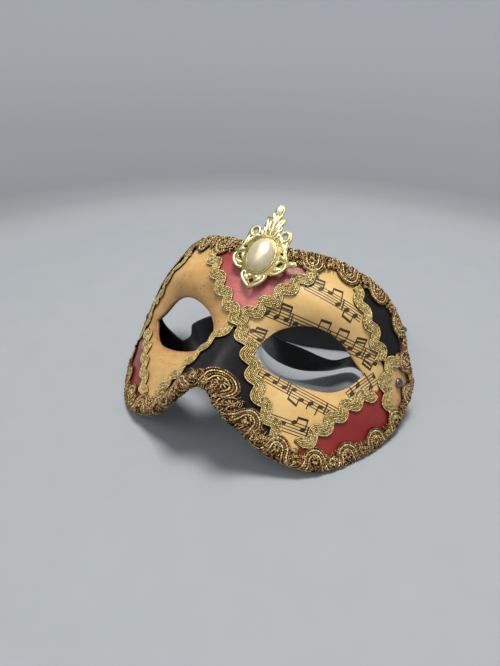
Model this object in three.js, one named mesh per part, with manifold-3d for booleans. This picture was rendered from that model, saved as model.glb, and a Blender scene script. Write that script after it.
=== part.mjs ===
// A Venetian half mask of papier-mâché with braid, a brass brow ornament and two black ribbons.
// It lies on the lower edge of its cheeks and leans back. Millimetres, +Z up, front towards -Y.
// The mask is first made upright, with its own zero between the eyes: x runs to the viewer's right,
// y away from the viewer and z up. One turn about X then leans it back and one shift sets it down.

import * as THREE from "three";
import { mergeVertices } from "three/addons/utils/BufferGeometryUtils.js";
import Module from "manifold-3d";

// The bent sheet that the face is raised from
const LEAN_DEG = 46;
const HALF_WIDTH = 89.4;
const DEPTH = 93.2;
const ARC = 90; // millimetres of arc for one radian round the face
const FOREHEAD_TAPER = 6.4e-5; // share of the width lost for each square millimetre of height
const WALL = 2.2;
const GAP = 0.6; // between pieces that lie on each other
const SAME_POINT = 1e-4;

// Raised and hollow places of the face: height, side distance and the two spreads
const BROW = { rise: 3.05, x: 38.4, z: 27.1, wide: 24.9, high: 10.2 };
const SOCKET = { rise: -12.5, x: 36.2, z: 0, wide: 22.6, high: 14.7 };
const CHEEK = { rise: -3.1, x: 42.9, z: -31.6, wide: 22.6, high: 14.7 };
const NOSE = { rise: 21.3, top: 6.8, length: 38.4, power: 1.3, wide: 10.2, widen: 5.65, most: 1.3 };
const NOSE_BRIDGE = { rise: 1.6, x: 0, z: -7, wide: 8.5, high: 9 }; // counts twice, once for each side

// Outline of the paper wall, right half, from the middle of the forehead to under the nose.
// The first number is the arc from the middle line, the second the height over the eyes' line.
const OUTLINE = [
  [0, 46], [15, 47], [29, 48.4], [43, 49.7], [56, 49], [68, 47.3], [77.5, 43.6], [84, 37.5],
  [88, 30], [91, 22.5], [96.5, 15.5], [100.4, 7.5], [98.2, -4], [94.6, -14], [86, -24.7],
  [74.5, -34.4], [64.5, -40.9], [51, -45.4], [39, -45], [28.5, -42.7], [21.5, -38.4],
  [15, -35.2], [9.8, -30.8], [5.5, -26], [0, -24],
];
const OUTLINE_STEPS = 46;
const MIDLINE_STEPS = 10;

// Right eye hole, from its sharp outer corner over the top and back
const EYE = [
  [69, 3.3], [62.4, 7.5], [53.1, 13.2], [43.7, 15.9], [35.5, 15.9], [27, 13.5], [19, 8.5],
  [13.8, 0.2], [13.6, -6.3], [19.6, -9.2], [32.5, -11.3], [46.3, -11.2], [55.3, -9.4],
  [63.5, -4], [69, 3.3],
];
const EYE_CENTRE = [42, 2];
const EYE_SAMPLES = 140;
const RINGS = 7; // rows of faces between the eye hole and the edge

// Scalloped gimp braid, folded over the edge
const GIMP = {
  scallops: 28,
  stepsPerScallop: 6,
  firstScallop: 11.6, // arc from the middle of the forehead to the first inner scallop
  front: 6,
  frontWave: 1.9,
  frontSlope: 1,
  over: 1.5,
  overWave: 0.5,
  overSlope: 0.4,
  back: 5,
  backThick: 0.9,
  thick: 1.3,
};
const FLOOR = { cut: 0.7, side: 400, depth: 20 }; // cut is how much of the braid it flattens

// Wavy ric-rac braid
const RICRAC = {
  width: 5.4, thick: 1.1, lift: 0.8, wave: 1.6, pitch: 9.7, stepsPerWave: 4, clear: 2.9,
};
const EDGE_SAMPLES = 400;
const STRIP_SAMPLES = 200;
const BRIDGE_HEIGHT = 8.8; // where the two long strips cross on the middle line
const CROSS_LIFT = 1.9;
const CROSS_REACH = 9;
const STRIPS = {
  brow_to_nose: [
    [-33, 42], [-24.2, 34], [-17.9, 27.1], [-13, 21.5], [-8.6, 17.1], [0, BRIDGE_HEIGHT], [2.2, 5.2],
    [8.2, -1.8], [12.8, -9.8], [17, -16.5], [21, -22.7], [25.6, -27.8], [36, -38],
  ],
  temple: [[54.5, 42], [57.6, 33.5], [62.8, 27.3], [68.3, 20.9], [74, 14.8], [75.2, 12.6]],
  cheek: [[75.8, -2.6], [67.2, -10.4], [60.3, -18.6], [54.4, -27.3], [48.5, -34.9], [46, -39]],
  stud_panel: [
    [87, 20.5], [81.5, 14], [79.3, 8.5], [81, 2], [84.2, -3.2], [88.7, -8.7], [91.3, -14],
  ],
};

// Brass ornament, its pearl and the temple studs
const ORNAMENT = { x: 2.1, y: -2.6, z: 41, lean: 4, roll: -2.5, thick: 0.8 };
const PEARL = { wide: 13.5, high: 18, rise: 5, gap: 0.3, sides: 20, rows: 5 };
const STUD = { u: 89.4, v: 6.4, radius: 2.5, rise: 1.6, sides: 12, rows: 3 };

// Satin ribbons, from inside the temples to their loose ends behind the mask. They first lie on
// the wall, at an arc and a height, and then follow stops that hold x, y, the height of the
// ribbon's lower edge over the floor and its roll, which is 90 where the ribbon stands on edge.
const RIBBON = { width: 16, thick: 0.4, steps: 44, low: 0.45, offWall: 1.2 };
const RIBBONS = {
  left: {
    wall: [[-88, 5], [-80, 3.5]],
    stops: [
      [-60, 15, 9, 90], [-50, 11, 4, 90], [-42, 11.5, 1, 90], [-41, 20, 0.5, 90],
      [-45, 32, RIBBON.low, 90], [-44, 44, RIBBON.low, 90], [-37, 59, RIBBON.low, 90],
      [-29, 74, RIBBON.low, 80], [-27, 92, RIBBON.low, 35], [-36, 110, RIBBON.low, 6],
      [-56, 117, RIBBON.low, 0], [-78, 112, RIBBON.low, 0],
    ],
  },
  right: {
    wall: [[88, 5], [83, 4.5]],
    stops: [
      [62, 29, 8, 80], [56, 41, 6, 90], [46, 48, 6.5, 90], [35, 39, 6.5, 90],
      [20, 32, 7, 90], [7, 33, 7, 90], [-7, 43, 5.5, 90], [-13, 55, 3, 90],
      [-6, 67, 0.8, 90], [10, 68, RIBBON.low, 90], [34, 68, RIBBON.low, 90],
      [52, 74, RIBBON.low, 90], [61, 88, RIBBON.low, 55], [55, 107, RIBBON.low, 12],
      [36, 117, RIBBON.low, 0], [8, 115, RIBBON.low, 0],
    ],
  },
};

const wasm = await Module();
wasm.setup();

const bell = (a) => Math.exp(-a * a);

// Height of one pair of mirrored bumps at side distance x and height z.
function pair(bump, x, z) {
  const sides = bell((x - bump.x) / bump.wide) + bell((x + bump.x) / bump.wide);
  return bump.rise * sides * bell((z - bump.z) / bump.high);
}

// How far the face stands out from the bent sheet.
function relief(x, z) {
  const down = THREE.MathUtils.clamp((NOSE.top - z) / NOSE.length, 0, NOSE.most);
  const nose = NOSE.rise * down ** NOSE.power * bell(x / (NOSE.wide + NOSE.widen * down));
  const pairs = [BROW, SOCKET, CHEEK, NOSE_BRIDGE].map((bump) => pair(bump, x, z));
  return nose + pairs.reduce((sum, rise) => sum + rise, 0);
}

// A point of the painted skin: u is the arc from the middle line, v the height.
function skin(u, v) {
  const angle = u / ARC;
  const wide = HALF_WIDTH * (1 - FOREHEAD_TAPER * Math.max(v, 0) ** 2);
  const x = wide * Math.sin(angle);
  const out = new THREE.Vector2(DEPTH * Math.sin(angle), -wide * Math.cos(angle)).normalize();
  const rise = relief(x, v);
  return new THREE.Vector3(x + rise * out.x, DEPTH * (1 - Math.cos(angle)) + rise * out.y, v);
}

// A point at the given distance in front of the skin, or behind it when lift is below zero.
function onMask(u, v, lift = 0) {
  const step = 0.05;
  const across = skin(u + step, v).sub(skin(u - step, v));
  const up = skin(u, v + step).sub(skin(u, v - step));
  return skin(u, v).addScaledVector(across.cross(up).normalize(), lift);
}

// A closed body through rows of points. Each row is a ring in the same turning sense. The rows
// themselves close to a ring when loop is true, and flat caps close the ends when it is false.
function loft(rows, loop) {
  const around = rows[0].length;
  const vertices = rows.flat().flatMap((p) => [p.x, p.y, p.z]);
  const faces = [];
  const count = loop ? rows.length : rows.length - 1;
  for (let i = 0; i < count; i++) {
    const a = i * around;
    const b = ((i + 1) % rows.length) * around;
    for (let j = 0; j < around; j++) {
      const k = (j + 1) % around;
      faces.push(a + j, b + j, b + k, a + j, b + k, a + k);
    }
  }
  if (!loop) {
    const last = (rows.length - 1) * around;
    for (let j = 1; j < around - 1; j++) {
      faces.push(0, j, j + 1, last, last + j + 1, last + j);
    }
  }
  return indexed(vertices, faces);
}

function indexed(vertices, faces) {
  const geometry = new THREE.BufferGeometry();
  geometry.setAttribute("position", new THREE.Float32BufferAttribute(vertices, 3));
  geometry.setIndex(faces);
  return geometry;
}

const toPoint = ([u, v]) => new THREE.Vector3(u, v, 0);

function smoothCurve(points, closed = false) {
  return new THREE.CatmullRomCurve3(points.map(toPoint), closed, "centripetal");
}

// Where a ray from the eye's centre towards p leaves the eye hole.
function eyeEdge(p, eyePoints) {
  const [cu, cv] = EYE_CENTRE;
  const turn = (q) => Math.atan2(q.y - cv, q.x - cu);
  const wanted = turn(p);
  for (let i = 0; i < eyePoints.length - 1; i++) {
    const a = eyePoints[i];
    const b = eyePoints[i + 1];
    const span = THREE.MathUtils.euclideanModulo(turn(b) - turn(a), 2 * Math.PI);
    const part = THREE.MathUtils.euclideanModulo(wanted - turn(a), 2 * Math.PI);
    if (part <= span) {
      return a.clone().lerp(b, part / span);
    }
  }
  return eyePoints[0].clone();
}

// The papier-mâché wall. The right half is woven in rings from the eye hole out to the edge, and
// the left half is its mirror image, joined along the middle line.
function shellGeometry() {
  const edge = smoothCurve(OUTLINE).getPoints(OUTLINE_STEPS);
  const top = edge[0];
  const bottom = edge[edge.length - 1];
  const middle = [];
  for (let i = 1; i < MIDLINE_STEPS; i++) {
    middle.push(bottom.clone().lerp(top, i / MIDLINE_STEPS));
  }
  const border = [...edge, ...middle];
  const eyePoints = smoothCurve(EYE).getPoints(EYE_SAMPLES);
  const hole = border.map((p) => eyeEdge(p, eyePoints));
  const corner = toPoint(EYE[0]);
  const distances = hole.map((p) => p.distanceTo(corner));
  hole[distances.indexOf(Math.min(...distances))] = corner;

  const columns = border.map((outer, i) => {
    const front = [];
    for (let k = 0; k <= RINGS; k++) {
      front.push(hole[i].clone().lerp(outer, k / RINGS));
    }
    return front;
  });
  const vertices = [];
  const put = (p, lift) => {
    const q = onMask(p.x, p.y, lift);
    vertices.push(p.x === 0 ? 0 : q.x, q.y, q.z);
  };
  columns.forEach((column) => {
    column.forEach((p) => put(p, 0));
    column.forEach((p) => put(p, -WALL));
  });

  const rows = RINGS + 1;
  const at = (i, k, back) => ((i % border.length) * 2 + (back ? 1 : 0)) * rows + k;
  const faces = [];
  const quad = (a, b, c, d) => faces.push(a, b, c, a, c, d);
  for (let i = 0; i < border.length; i++) {
    for (let k = 0; k < RINGS; k++) {
      quad(at(i, k, false), at(i + 1, k, false), at(i + 1, k + 1, false), at(i, k + 1, false));
      quad(at(i, k, true), at(i, k + 1, true), at(i + 1, k + 1, true), at(i + 1, k, true));
    }
    quad(at(i, 0, true), at(i + 1, 0, true), at(i + 1, 0, false), at(i, 0, false));
    if (i < edge.length - 1) {
      quad(
        at(i, RINGS, false), at(i + 1, RINGS, false), at(i + 1, RINGS, true), at(i, RINGS, true),
      );
    }
  }
  const mirrored = vertices.map((value, i) => (i % 3 === 0 ? -value : value));
  const shift = vertices.length / 3;
  const turned = [];
  for (let i = 0; i < faces.length; i += 3) {
    turned.push(faces[i] + shift, faces[i + 2] + shift, faces[i + 1] + shift);
  }
  return mergeVertices(indexed([...vertices, ...mirrored], [...faces, ...turned]), SAME_POINT);
}

// The whole edge of the paper wall as one closed curve.
function edgeCurve() {
  const left = OUTLINE.slice(1, -1).reverse().map(([u, v]) => [-u, v]);
  return smoothCurve([...OUTLINE, ...left], true);
}

function gimpGeometry() {
  const edge = edgeCurve();
  const stations = GIMP.scallops * GIMP.stepsPerScallop;
  const offset = (GIMP.firstScallop / edge.getLength()) * GIMP.scallops;
  const rows = [];
  for (let i = 0; i < stations; i++) {
    const t = i / stations;
    const p = edge.getPointAt(t);
    const along = edge.getTangentAt(t);
    const inward = new THREE.Vector3(along.y, -along.x, 0);
    const wave = Math.cos(2 * Math.PI * (t * GIMP.scallops - offset));
    const front = GIMP.front + GIMP.frontWave * wave;
    const over = GIMP.over - GIMP.overWave * wave;
    const at = (depth, lift) => onMask(p.x + inward.x * depth, p.y + inward.y * depth, lift);
    rows.push([
      at(front, GAP),
      at(front - GIMP.frontSlope, GAP + GIMP.thick),
      at(-over + GIMP.overSlope, GIMP.thick),
      at(-over, -WALL),
      at(-over + GIMP.overSlope, -WALL - GAP - GIMP.backThick),
      at(GIMP.back, -WALL - GAP - GIMP.backThick),
      at(GIMP.back, -WALL - GAP),
      at(-GAP, -WALL - GAP),
      at(-GAP, GAP),
    ]);
  }
  return loft(rows, true);
}

// How high a strip is lifted where it rides over the other one.
function crossing(u, v) {
  const away = Math.hypot(u, v - BRIDGE_HEIGHT) / CROSS_REACH;
  return CROSS_LIFT * (1 - THREE.MathUtils.smoothstep(away, 0.5, 1));
}

// The stretch of a strip's route that the gimp braid leaves uncovered, as two shares of its length.
function uncovered(curve) {
  const edge = edgeCurve().getSpacedPoints(EDGE_SAMPLES);
  const samples = curve.getSpacedPoints(STRIP_SAMPLES);
  const covered = GIMP.front + GIMP.frontWave + RICRAC.clear;
  const free = samples.map((p) => edge.every((q) => p.distanceTo(q) > covered));
  return [free.indexOf(true) / STRIP_SAMPLES, free.lastIndexOf(true) / STRIP_SAMPLES];
}

// One length of ric-rac along a route on the mask. side is 1 or -1 for the mirrored strip, and
// rides tells whether it lies over the strip that it crosses.
function ricracGeometry(route, side, rides) {
  const curve = smoothCurve(route.map(([u, v]) => [u * side, v]));
  const [first, last] = uncovered(curve);
  const waves = Math.round((curve.getLength() * (last - first)) / RICRAC.pitch);
  const steps = waves * RICRAC.stepsPerWave;
  const wavy = [];
  for (let i = 0; i <= steps; i++) {
    const t = THREE.MathUtils.lerp(first, last, i / steps);
    const along = curve.getTangentAt(t);
    const sway = side * RICRAC.wave * Math.sin((2 * Math.PI * i) / RICRAC.stepsPerWave);
    wavy.push(curve.getPointAt(t).add(new THREE.Vector3(-along.y, along.x, 0).multiplyScalar(sway)));
  }
  const rows = wavy.map((p, i) => {
    const before = wavy[Math.max(i - 1, 0)];
    const after = wavy[Math.min(i + 1, steps)];
    const along = after.clone().sub(before).normalize();
    const half = RICRAC.width / 2;
    const lift = RICRAC.lift + (rides ? crossing(p.x, p.y) : 0);
    const at = (aside, height) => onMask(p.x - along.y * aside, p.y + along.x * aside, height);
    return [
      at(half, lift), at(-half, lift),
      at(-half, lift + RICRAC.thick), at(half, lift + RICRAC.thick),
    ];
  });
  return loft(rows, false);
}

// Half of the brass plate's outline, from its lowest point up to its tip, and the same with the
// small bud that the right side has. x counts from the plate's middle line, z from the pearl.
const PLATE_LOWER = [[0, -17.3], [2.1, -16], [4.3, -14.4], [6.2, -11.6], [6.8, -9.6], [6.5, -8.3]];
const PLATE_SIDE = [[8.6, -8.6], [11.2, -7], [13.4, -4.9], [14.3, -2.5]];
const PLATE_BUD = [[15.6, -2], [17.6, -1.8], [18.5, -0.5], [17.4, 0.8], [15.2, 0.6]];
const PLATE_UPPER = [
  [13.6, 0], [12.4, 2], [11.4, 4.4], [11, 6.8], [11, 9], [11.1, 12.4], [10.2, 14.6], [8.2, 15.5],
  [6, 14.4], [4.6, 12.2], [3.8, 13.6], [4.9, 15.8], [4.1, 17.4], [4.8, 21], [2.9, 20.8],
  [1.7, 22.8], [2.3, 25], [1.8, 27], [0, 29],
];
const PLATE_HOLES = [
  [[0, -14.2], [1.5, -12.8], [0, -11.4], [-1.5, -12.8]],
  [[7.6, 0.9], [10.6, 1], [9.6, 2.7], [7.9, 2.6]],
  [[7.4, -4.9], [10.4, -4], [11.8, -1.6], [9.2, -2.6]],
];
const LOOP_HOLE = { x: 7.8, z: 12.1, radius: 1.3 };

function plateGeometry() {
  const flip = ([x, z]) => [-x, z];
  const right = [...PLATE_LOWER, ...PLATE_SIDE, ...PLATE_BUD, ...PLATE_UPPER];
  const left = [...PLATE_LOWER, ...PLATE_SIDE, ...PLATE_UPPER].slice(1, -1).map(flip).reverse();
  const shape = new THREE.Shape([...right, ...left].map(([x, z]) => new THREE.Vector2(x, z)));
  const addHole = (points) => {
    shape.holes.push(new THREE.Path(points.map(([x, z]) => new THREE.Vector2(x, z))));
  };
  PLATE_HOLES.forEach((hole, i) => {
    addHole(hole);
    if (i > 0) {
      addHole(hole.map(flip));
    }
  });
  for (const side of [1, -1]) {
    const loop = new THREE.Path();
    loop.absarc(side * LOOP_HOLE.x, LOOP_HOLE.z, LOOP_HOLE.radius, 0, 2 * Math.PI);
    shape.holes.push(loop);
  }
  return new THREE.ExtrudeGeometry(shape, {
    depth: ORNAMENT.thick, bevelEnabled: false, curveSegments: 8,
  });
}

// A domed button whose flat back lies on z = 0.
function domeGeometry(radius, { rise, sides, rows }) {
  const profile = [new THREE.Vector2(0, 0)];
  for (let i = 0; i <= rows; i++) {
    const angle = (i / rows) * (Math.PI / 2);
    profile.push(new THREE.Vector2(radius * Math.cos(angle), rise * Math.sin(angle)));
  }
  profile[rows + 1].x = 0;
  return new THREE.LatheGeometry(profile, sides).rotateX(Math.PI / 2);
}

// A ribbon's stop on the inner face of the leaned wall: its middle and half its width as a vector.
function wallStop([u, v], faceMatrix) {
  const lift = -(WALL + RIBBON.offWall);
  const above = onMask(u, v + RIBBON.width / 2, lift).applyMatrix4(faceMatrix);
  const below = onMask(u, v - RIBBON.width / 2, lift).applyMatrix4(faceMatrix);
  return {
    middle: above.clone().add(below).multiplyScalar(0.5),
    half: above.sub(below).setLength(RIBBON.width / 2),
  };
}

// A stop on the floor or in the air, turned across the way from the stop before to the one after.
function freeStop([x, y, low, roll], before, after) {
  const along = new THREE.Vector3(after.x - before.x, after.y - before.y, 0).normalize();
  const turn = THREE.MathUtils.degToRad(roll);
  const half = new THREE.Vector3(along.y, -along.x, 0).multiplyScalar(Math.cos(turn));
  half.setZ(Math.sin(turn)).setLength(RIBBON.width / 2);
  return { middle: new THREE.Vector3(x, y, low + half.z), half };
}

// The thin strip between two smooth edges through the stops.
function ribbonGeometry({ wall, stops }, faceMatrix) {
  const fixed = wall.map((place) => wallStop(place, faceMatrix));
  const places = stops.map(([x, y]) => new THREE.Vector3(x, y, 0));
  const free = stops.map((stop, i) => {
    const before = places[i - 1] ?? fixed[fixed.length - 1].middle;
    return freeStop(stop, before, places[i + 1] ?? places[i]);
  });
  const [upper, lower] = [1, -1].map((side) => new THREE.CatmullRomCurve3(
    [...fixed, ...free].map(({ middle, half }) => middle.clone().addScaledVector(half, side)),
    false,
    "centripetal",
  ));
  const rows = [];
  for (let i = 0; i <= RIBBON.steps; i++) {
    const t = i / RIBBON.steps;
    const top = upper.getPoint(t);
    const foot = lower.getPoint(t);
    const along = upper.getTangent(t).add(lower.getTangent(t));
    const thin = along.cross(top.clone().sub(foot)).setLength(RIBBON.thick / 2);
    rows.push([
      top.clone().add(thin), top.clone().sub(thin), foot.clone().sub(thin), foot.clone().add(thin),
    ]);
  }
  return loft(rows, false);
}

const material = (color, roughness, metalness = 0) =>
  new THREE.MeshStandardMaterial({ color, roughness, metalness });
const PAPER = material(0xd8b272, 0.5);
const GIMP_GOLD = material(0x8f6d30, 0.6, 0.3);
const RICRAC_GOLD = material(0xbfa55c, 0.6, 0.2);
const BRASS = material(0xe2d490, 0.3, 1);
const PEARL_CREAM = material(0xd6bd96, 0.25);
const STEEL = material(0x78707c, 0.3, 1);
const SATIN = material(0x121114, 0.4);

function mesh(name, geometry, look) {
  const made = new THREE.Mesh(geometry, look);
  made.name = name;
  return made;
}

function toSolid(geometry) {
  const bare = new THREE.BufferGeometry();
  bare.setAttribute("position", geometry.getAttribute("position"));
  bare.setIndex(geometry.getIndex());
  const merged = mergeVertices(bare, SAME_POINT);
  return new wasm.Manifold(new wasm.Mesh({
    numProp: 3,
    vertProperties: merged.attributes.position.array,
    triVerts: new Uint32Array(merged.index.array),
  }));
}

function fromSolid(solid) {
  const { vertProperties, triVerts } = solid.getMesh();
  return indexed(vertProperties, Array.from(triVerts));
}

// The braid as the floor presses it: cut level a little above its lowest point.
function pressedGimpGeometry(lean) {
  const gimp = gimpGeometry();
  const lowest = new THREE.Box3()
    .setFromBufferAttribute(gimp.clone().applyMatrix4(lean).getAttribute("position")).min.z;
  const floor = new THREE.BoxGeometry(FLOOR.side, FLOOR.side, FLOOR.depth)
    .translate(0, 0, lowest + FLOOR.cut - FLOOR.depth / 2)
    .applyMatrix4(lean.clone().invert());
  return fromSolid(toSolid(gimp).subtract(toSolid(floor)));
}

// The brass plate with its pearl, upright on the forehead.
function ornamentGroup() {
  const plate = mesh("brow_ornament", plateGeometry(), BRASS);
  const dome = domeGeometry(PEARL.high / 2, PEARL);
  const pearl = mesh("brow_pearl", dome, PEARL_CREAM);
  pearl.scale.x = PEARL.wide / PEARL.high;
  pearl.position.z = ORNAMENT.thick + PEARL.gap;
  const group = new THREE.Group();
  group.add(plate, pearl);
  group.position.set(ORNAMENT.x, ORNAMENT.y, ORNAMENT.z);
  group.rotation.set(
    THREE.MathUtils.degToRad(90 - ORNAMENT.lean), 0, THREE.MathUtils.degToRad(ORNAMENT.roll),
  );
  return group;
}

function studMesh(name, side) {
  const stud = mesh(name, domeGeometry(STUD.radius, STUD), STEEL);
  const foot = onMask(side * STUD.u, STUD.v, GAP);
  const out = onMask(side * STUD.u, STUD.v, GAP + 1).sub(foot);
  stud.position.copy(foot);
  stud.quaternion.setFromUnitVectors(new THREE.Vector3(0, 0, 1), out);
  return stud;
}

// The upright face with everything that is fixed on it, leaned back as one.
const face = new THREE.Group();
face.rotation.x = -THREE.MathUtils.degToRad(LEAN_DEG);
face.updateMatrix();
face.add(mesh("mask_shell", shellGeometry(), PAPER));
face.add(mesh("rim_braid", pressedGimpGeometry(face.matrix), GIMP_GOLD));
const SIDES = { left: -1, right: 1 };
for (const [name, side] of Object.entries(SIDES)) {
  for (const [strip, route] of Object.entries(STRIPS)) {
    const rides = strip === "brow_to_nose" && name === "right";
    face.add(mesh(`ricrac_${strip}_${name}`, ricracGeometry(route, side, rides), RICRAC_GOLD));
  }
  face.add(studMesh(`temple_stud_${name}`, side));
}
face.add(ornamentGroup());

// The origin is under the middle of the mask's box, on the floor.
const mask = new THREE.Group();
mask.add(face);
const box = new THREE.Box3().setFromObject(mask, true);
face.position.set(-(box.min.x + box.max.x) / 2, -(box.min.y + box.max.y) / 2, -box.min.z);
face.updateMatrix();
for (const [name, ribbon] of Object.entries(RIBBONS)) {
  mask.add(mesh(`ribbon_${name}`, ribbonGeometry(ribbon, face.matrix), SATIN));
}

export default mask;
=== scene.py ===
"""A Venetian half mask of painted papier-mâché with gold braid, a brass ornament and satin ribbons.

Sizes are in millimetres on the upright mask, whose zero lies between the eyes: x runs to the
viewer's right, y away from the viewer and z up. On its skin u is the arc from the middle line and
v the height. settle() leans such points back and puts them in the frame, in metres.
"""

import logging
import math
from dataclasses import dataclass, field
from enum import Enum
from typing import Callable, Optional, Sequence

import bmesh
import bpy
import numpy as np
from mathutils import Matrix, Vector


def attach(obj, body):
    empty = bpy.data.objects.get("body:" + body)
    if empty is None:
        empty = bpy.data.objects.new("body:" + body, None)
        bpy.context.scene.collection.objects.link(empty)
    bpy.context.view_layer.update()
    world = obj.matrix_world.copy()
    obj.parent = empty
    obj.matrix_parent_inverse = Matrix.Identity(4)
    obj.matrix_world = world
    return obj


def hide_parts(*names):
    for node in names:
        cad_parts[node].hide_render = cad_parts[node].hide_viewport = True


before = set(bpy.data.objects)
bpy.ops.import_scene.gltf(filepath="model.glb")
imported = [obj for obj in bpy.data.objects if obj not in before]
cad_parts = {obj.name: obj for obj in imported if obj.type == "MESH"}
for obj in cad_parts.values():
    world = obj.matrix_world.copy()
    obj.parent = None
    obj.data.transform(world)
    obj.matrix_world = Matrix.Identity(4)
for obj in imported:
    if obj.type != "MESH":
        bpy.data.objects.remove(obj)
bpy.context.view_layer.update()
log = logging.getLogger("half_mask")

Points = np.ndarray
MM = 0.001
LEAN = math.radians(46)
SETTLED = (0.1426, -10.7406, 48.7559)  # where the leaned mask's zero lies in the frame, in mm
SEED = 11
NUDGE = 0.2  # how much further out a second line is laid, to tell which way is out
WALL = 2.2  # the wall's thickness


class Strip(Enum):
    """The seams between the panels, each under a braid strip of its own."""

    BROW_TO_NOSE = "brow_to_nose"
    TEMPLE = "temple"
    CHEEK = "cheek"
    STUD_PANEL = "stud_panel"


# Arcs and heights on the right half of the seams, the edge and the rim of the eye hole.
STRIPS = {
    Strip.BROW_TO_NOSE: [
        (-33, 42), (-24.2, 34), (-17.9, 27.1), (-13, 21.5), (-8.6, 17.1), (0, 8.8), (2.2, 5.2),
        (8.2, -1.8), (12.8, -9.8), (17, -16.5), (21, -22.7), (25.6, -27.8), (36, -38),
    ],
    Strip.TEMPLE: [(54.5, 42), (57.6, 33.5), (62.8, 27.3), (68.3, 20.9), (74, 14.8), (75.2, 12.6)],
    Strip.CHEEK: [(75.8, -2.6), (67.2, -10.4), (60.3, -18.6), (54.4, -27.3), (48.5, -34.9), (46, -39)],
    Strip.STUD_PANEL: [
        (87, 20.5), (81.5, 14), (79.3, 8.5), (81, 2), (84.2, -3.2), (88.7, -8.7), (91.3, -14),
    ],
}
BRIDGE = (0.0, 8.8)  # where the two long strips cross
OUTLINE = [
    (0, 46), (15, 47), (29, 48.4), (43, 49.7), (56, 49), (68, 47.3), (77.5, 43.6), (84, 37.5),
    (88, 30), (91, 22.5), (96.5, 15.5), (100.4, 7.5), (98.2, -4), (94.6, -14), (86, -24.7),
    (74.5, -34.4), (64.5, -40.9), (51, -45.4), (39, -45), (28.5, -42.7), (21.5, -38.4),
    (15, -35.2), (9.8, -30.8), (5.5, -26), (0, -24),
]
EYE = [
    (69, 3.3), (62.4, 7.5), (53.1, 13.2), (43.7, 15.9), (35.5, 15.9), (27, 13.5), (19, 8.5),
    (13.8, 0.2), (13.6, -6.3), (19.6, -9.2), (32.5, -11.3), (46.3, -11.2), (55.3, -9.4),
    (63.5, -4), (69, 3.3),
]
EYE_CENTRE = (42.0, 2.0)


class Side(Enum):
    """The halves of the mask, as the viewer sees them."""

    LEFT = -1
    RIGHT = 1

    @property
    def word(self) -> str:
        """The side's name in a piece's name."""
        return self.name.lower()


def unit(rows: Points) -> Points:
    """Return the rows as vectors of length 1."""
    return rows / np.maximum(np.linalg.norm(rows, axis=-1, keepdims=True), 1e-9)


def lengths(line: Points) -> Points:
    """Return the way from a line's first point to each of its points."""
    return np.concatenate([[0.0], np.cumsum(np.linalg.norm(np.diff(line, axis=0), axis=1))])


def settle(points: Points) -> Points:
    """Lean upright points back and set them down in the frame.

    Args:
        points: Places on the upright mask, in millimetres.

    Returns:
        The same places in the frame, in metres.
    """
    x, y, z = points[..., 0], points[..., 1], points[..., 2]
    lean_y = y * math.cos(LEAN) + z * math.sin(LEAN)
    lean_z = z * math.cos(LEAN) - y * math.sin(LEAN)
    return (np.stack([x, lean_y, lean_z], axis=-1) + np.array(SETTLED)) * MM


@dataclass(frozen=True)
class Bump:
    """One mirrored pair of raised or hollow places of the face."""

    rise: float
    x: float
    z: float
    wide: float
    high: float

    def height(self, x: Points, z: Points) -> Points:
        """Return how far the pair stands out at side distance x and height z."""
        sides = np.exp(-(((x - self.x) / self.wide) ** 2)) + np.exp(-(((x + self.x) / self.wide) ** 2))
        return self.rise * sides * np.exp(-(((z - self.z) / self.high) ** 2))


@dataclass(frozen=True)
class Skin:
    """The bent sheet with the face raised from it."""

    half_width: float = 89.4
    depth: float = 93.2
    arc: float = 90.0
    taper: float = 6.4e-5
    bumps: tuple = (
        Bump(3.05, 38.4, 27.1, 24.9, 10.2),
        Bump(-12.5, 36.2, 0.0, 22.6, 14.7),
        Bump(-3.1, 42.9, -31.6, 22.6, 14.7),
        Bump(1.6, 0.0, -7.0, 8.5, 9.0),
    )
    nose_rise: float = 21.3
    nose_top: float = 6.8
    nose_length: float = 38.4
    nose_past: float = 1.3
    nose_power: float = 1.3
    nose_wide: float = 10.2
    nose_widen: float = 5.65

    def relief(self, x: Points, z: Points) -> Points:
        """Return how far the face stands out from the bent sheet.

        Args:
            x: Distances from the middle line.
            z: Heights.

        Returns:
            Distances in front of the sheet.
        """
        down = np.clip((self.nose_top - z) / self.nose_length, 0, self.nose_past)
        wide = self.nose_wide + self.nose_widen * down
        nose = self.nose_rise * down**self.nose_power * np.exp(-((x / wide) ** 2))
        return nose + sum(bump.height(x, z) for bump in self.bumps)

    def at(self, u: Points, v: Points) -> Points:
        """Find points of the skin.

        Args:
            u: Arcs from the middle line.
            v: Heights.

        Returns:
            The upright points.
        """
        angle = u / self.arc
        wide = self.half_width * (1 - self.taper * np.maximum(v, 0) ** 2)
        x = wide * np.sin(angle)
        out_x, out_y = self.depth * np.sin(angle), -wide * np.cos(angle)
        rise = self.relief(x, v) / np.hypot(out_x, out_y)
        return np.stack([x + rise * out_x, self.depth * (1 - np.cos(angle)) + rise * out_y, v], axis=-1)

    def on(self, u: Points, v: Points, lift: Points = 0.0) -> Points:
        """Find points in front of the skin or behind it.

        Args:
            u: Arcs from the middle line.
            v: Heights.
            lift: Distances in front of the skin, negative behind it.

        Returns:
            The upright points.
        """
        step = 0.05
        u, v, lift = np.broadcast_arrays(np.asarray(u, float), np.asarray(v, float), lift)
        across = self.at(u + step, v) - self.at(u - step, v)
        up = self.at(u, v + step) - self.at(u, v - step)
        return self.at(u, v) + unit(np.cross(across, up)) * lift[..., None]


SKIN = Skin()


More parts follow.
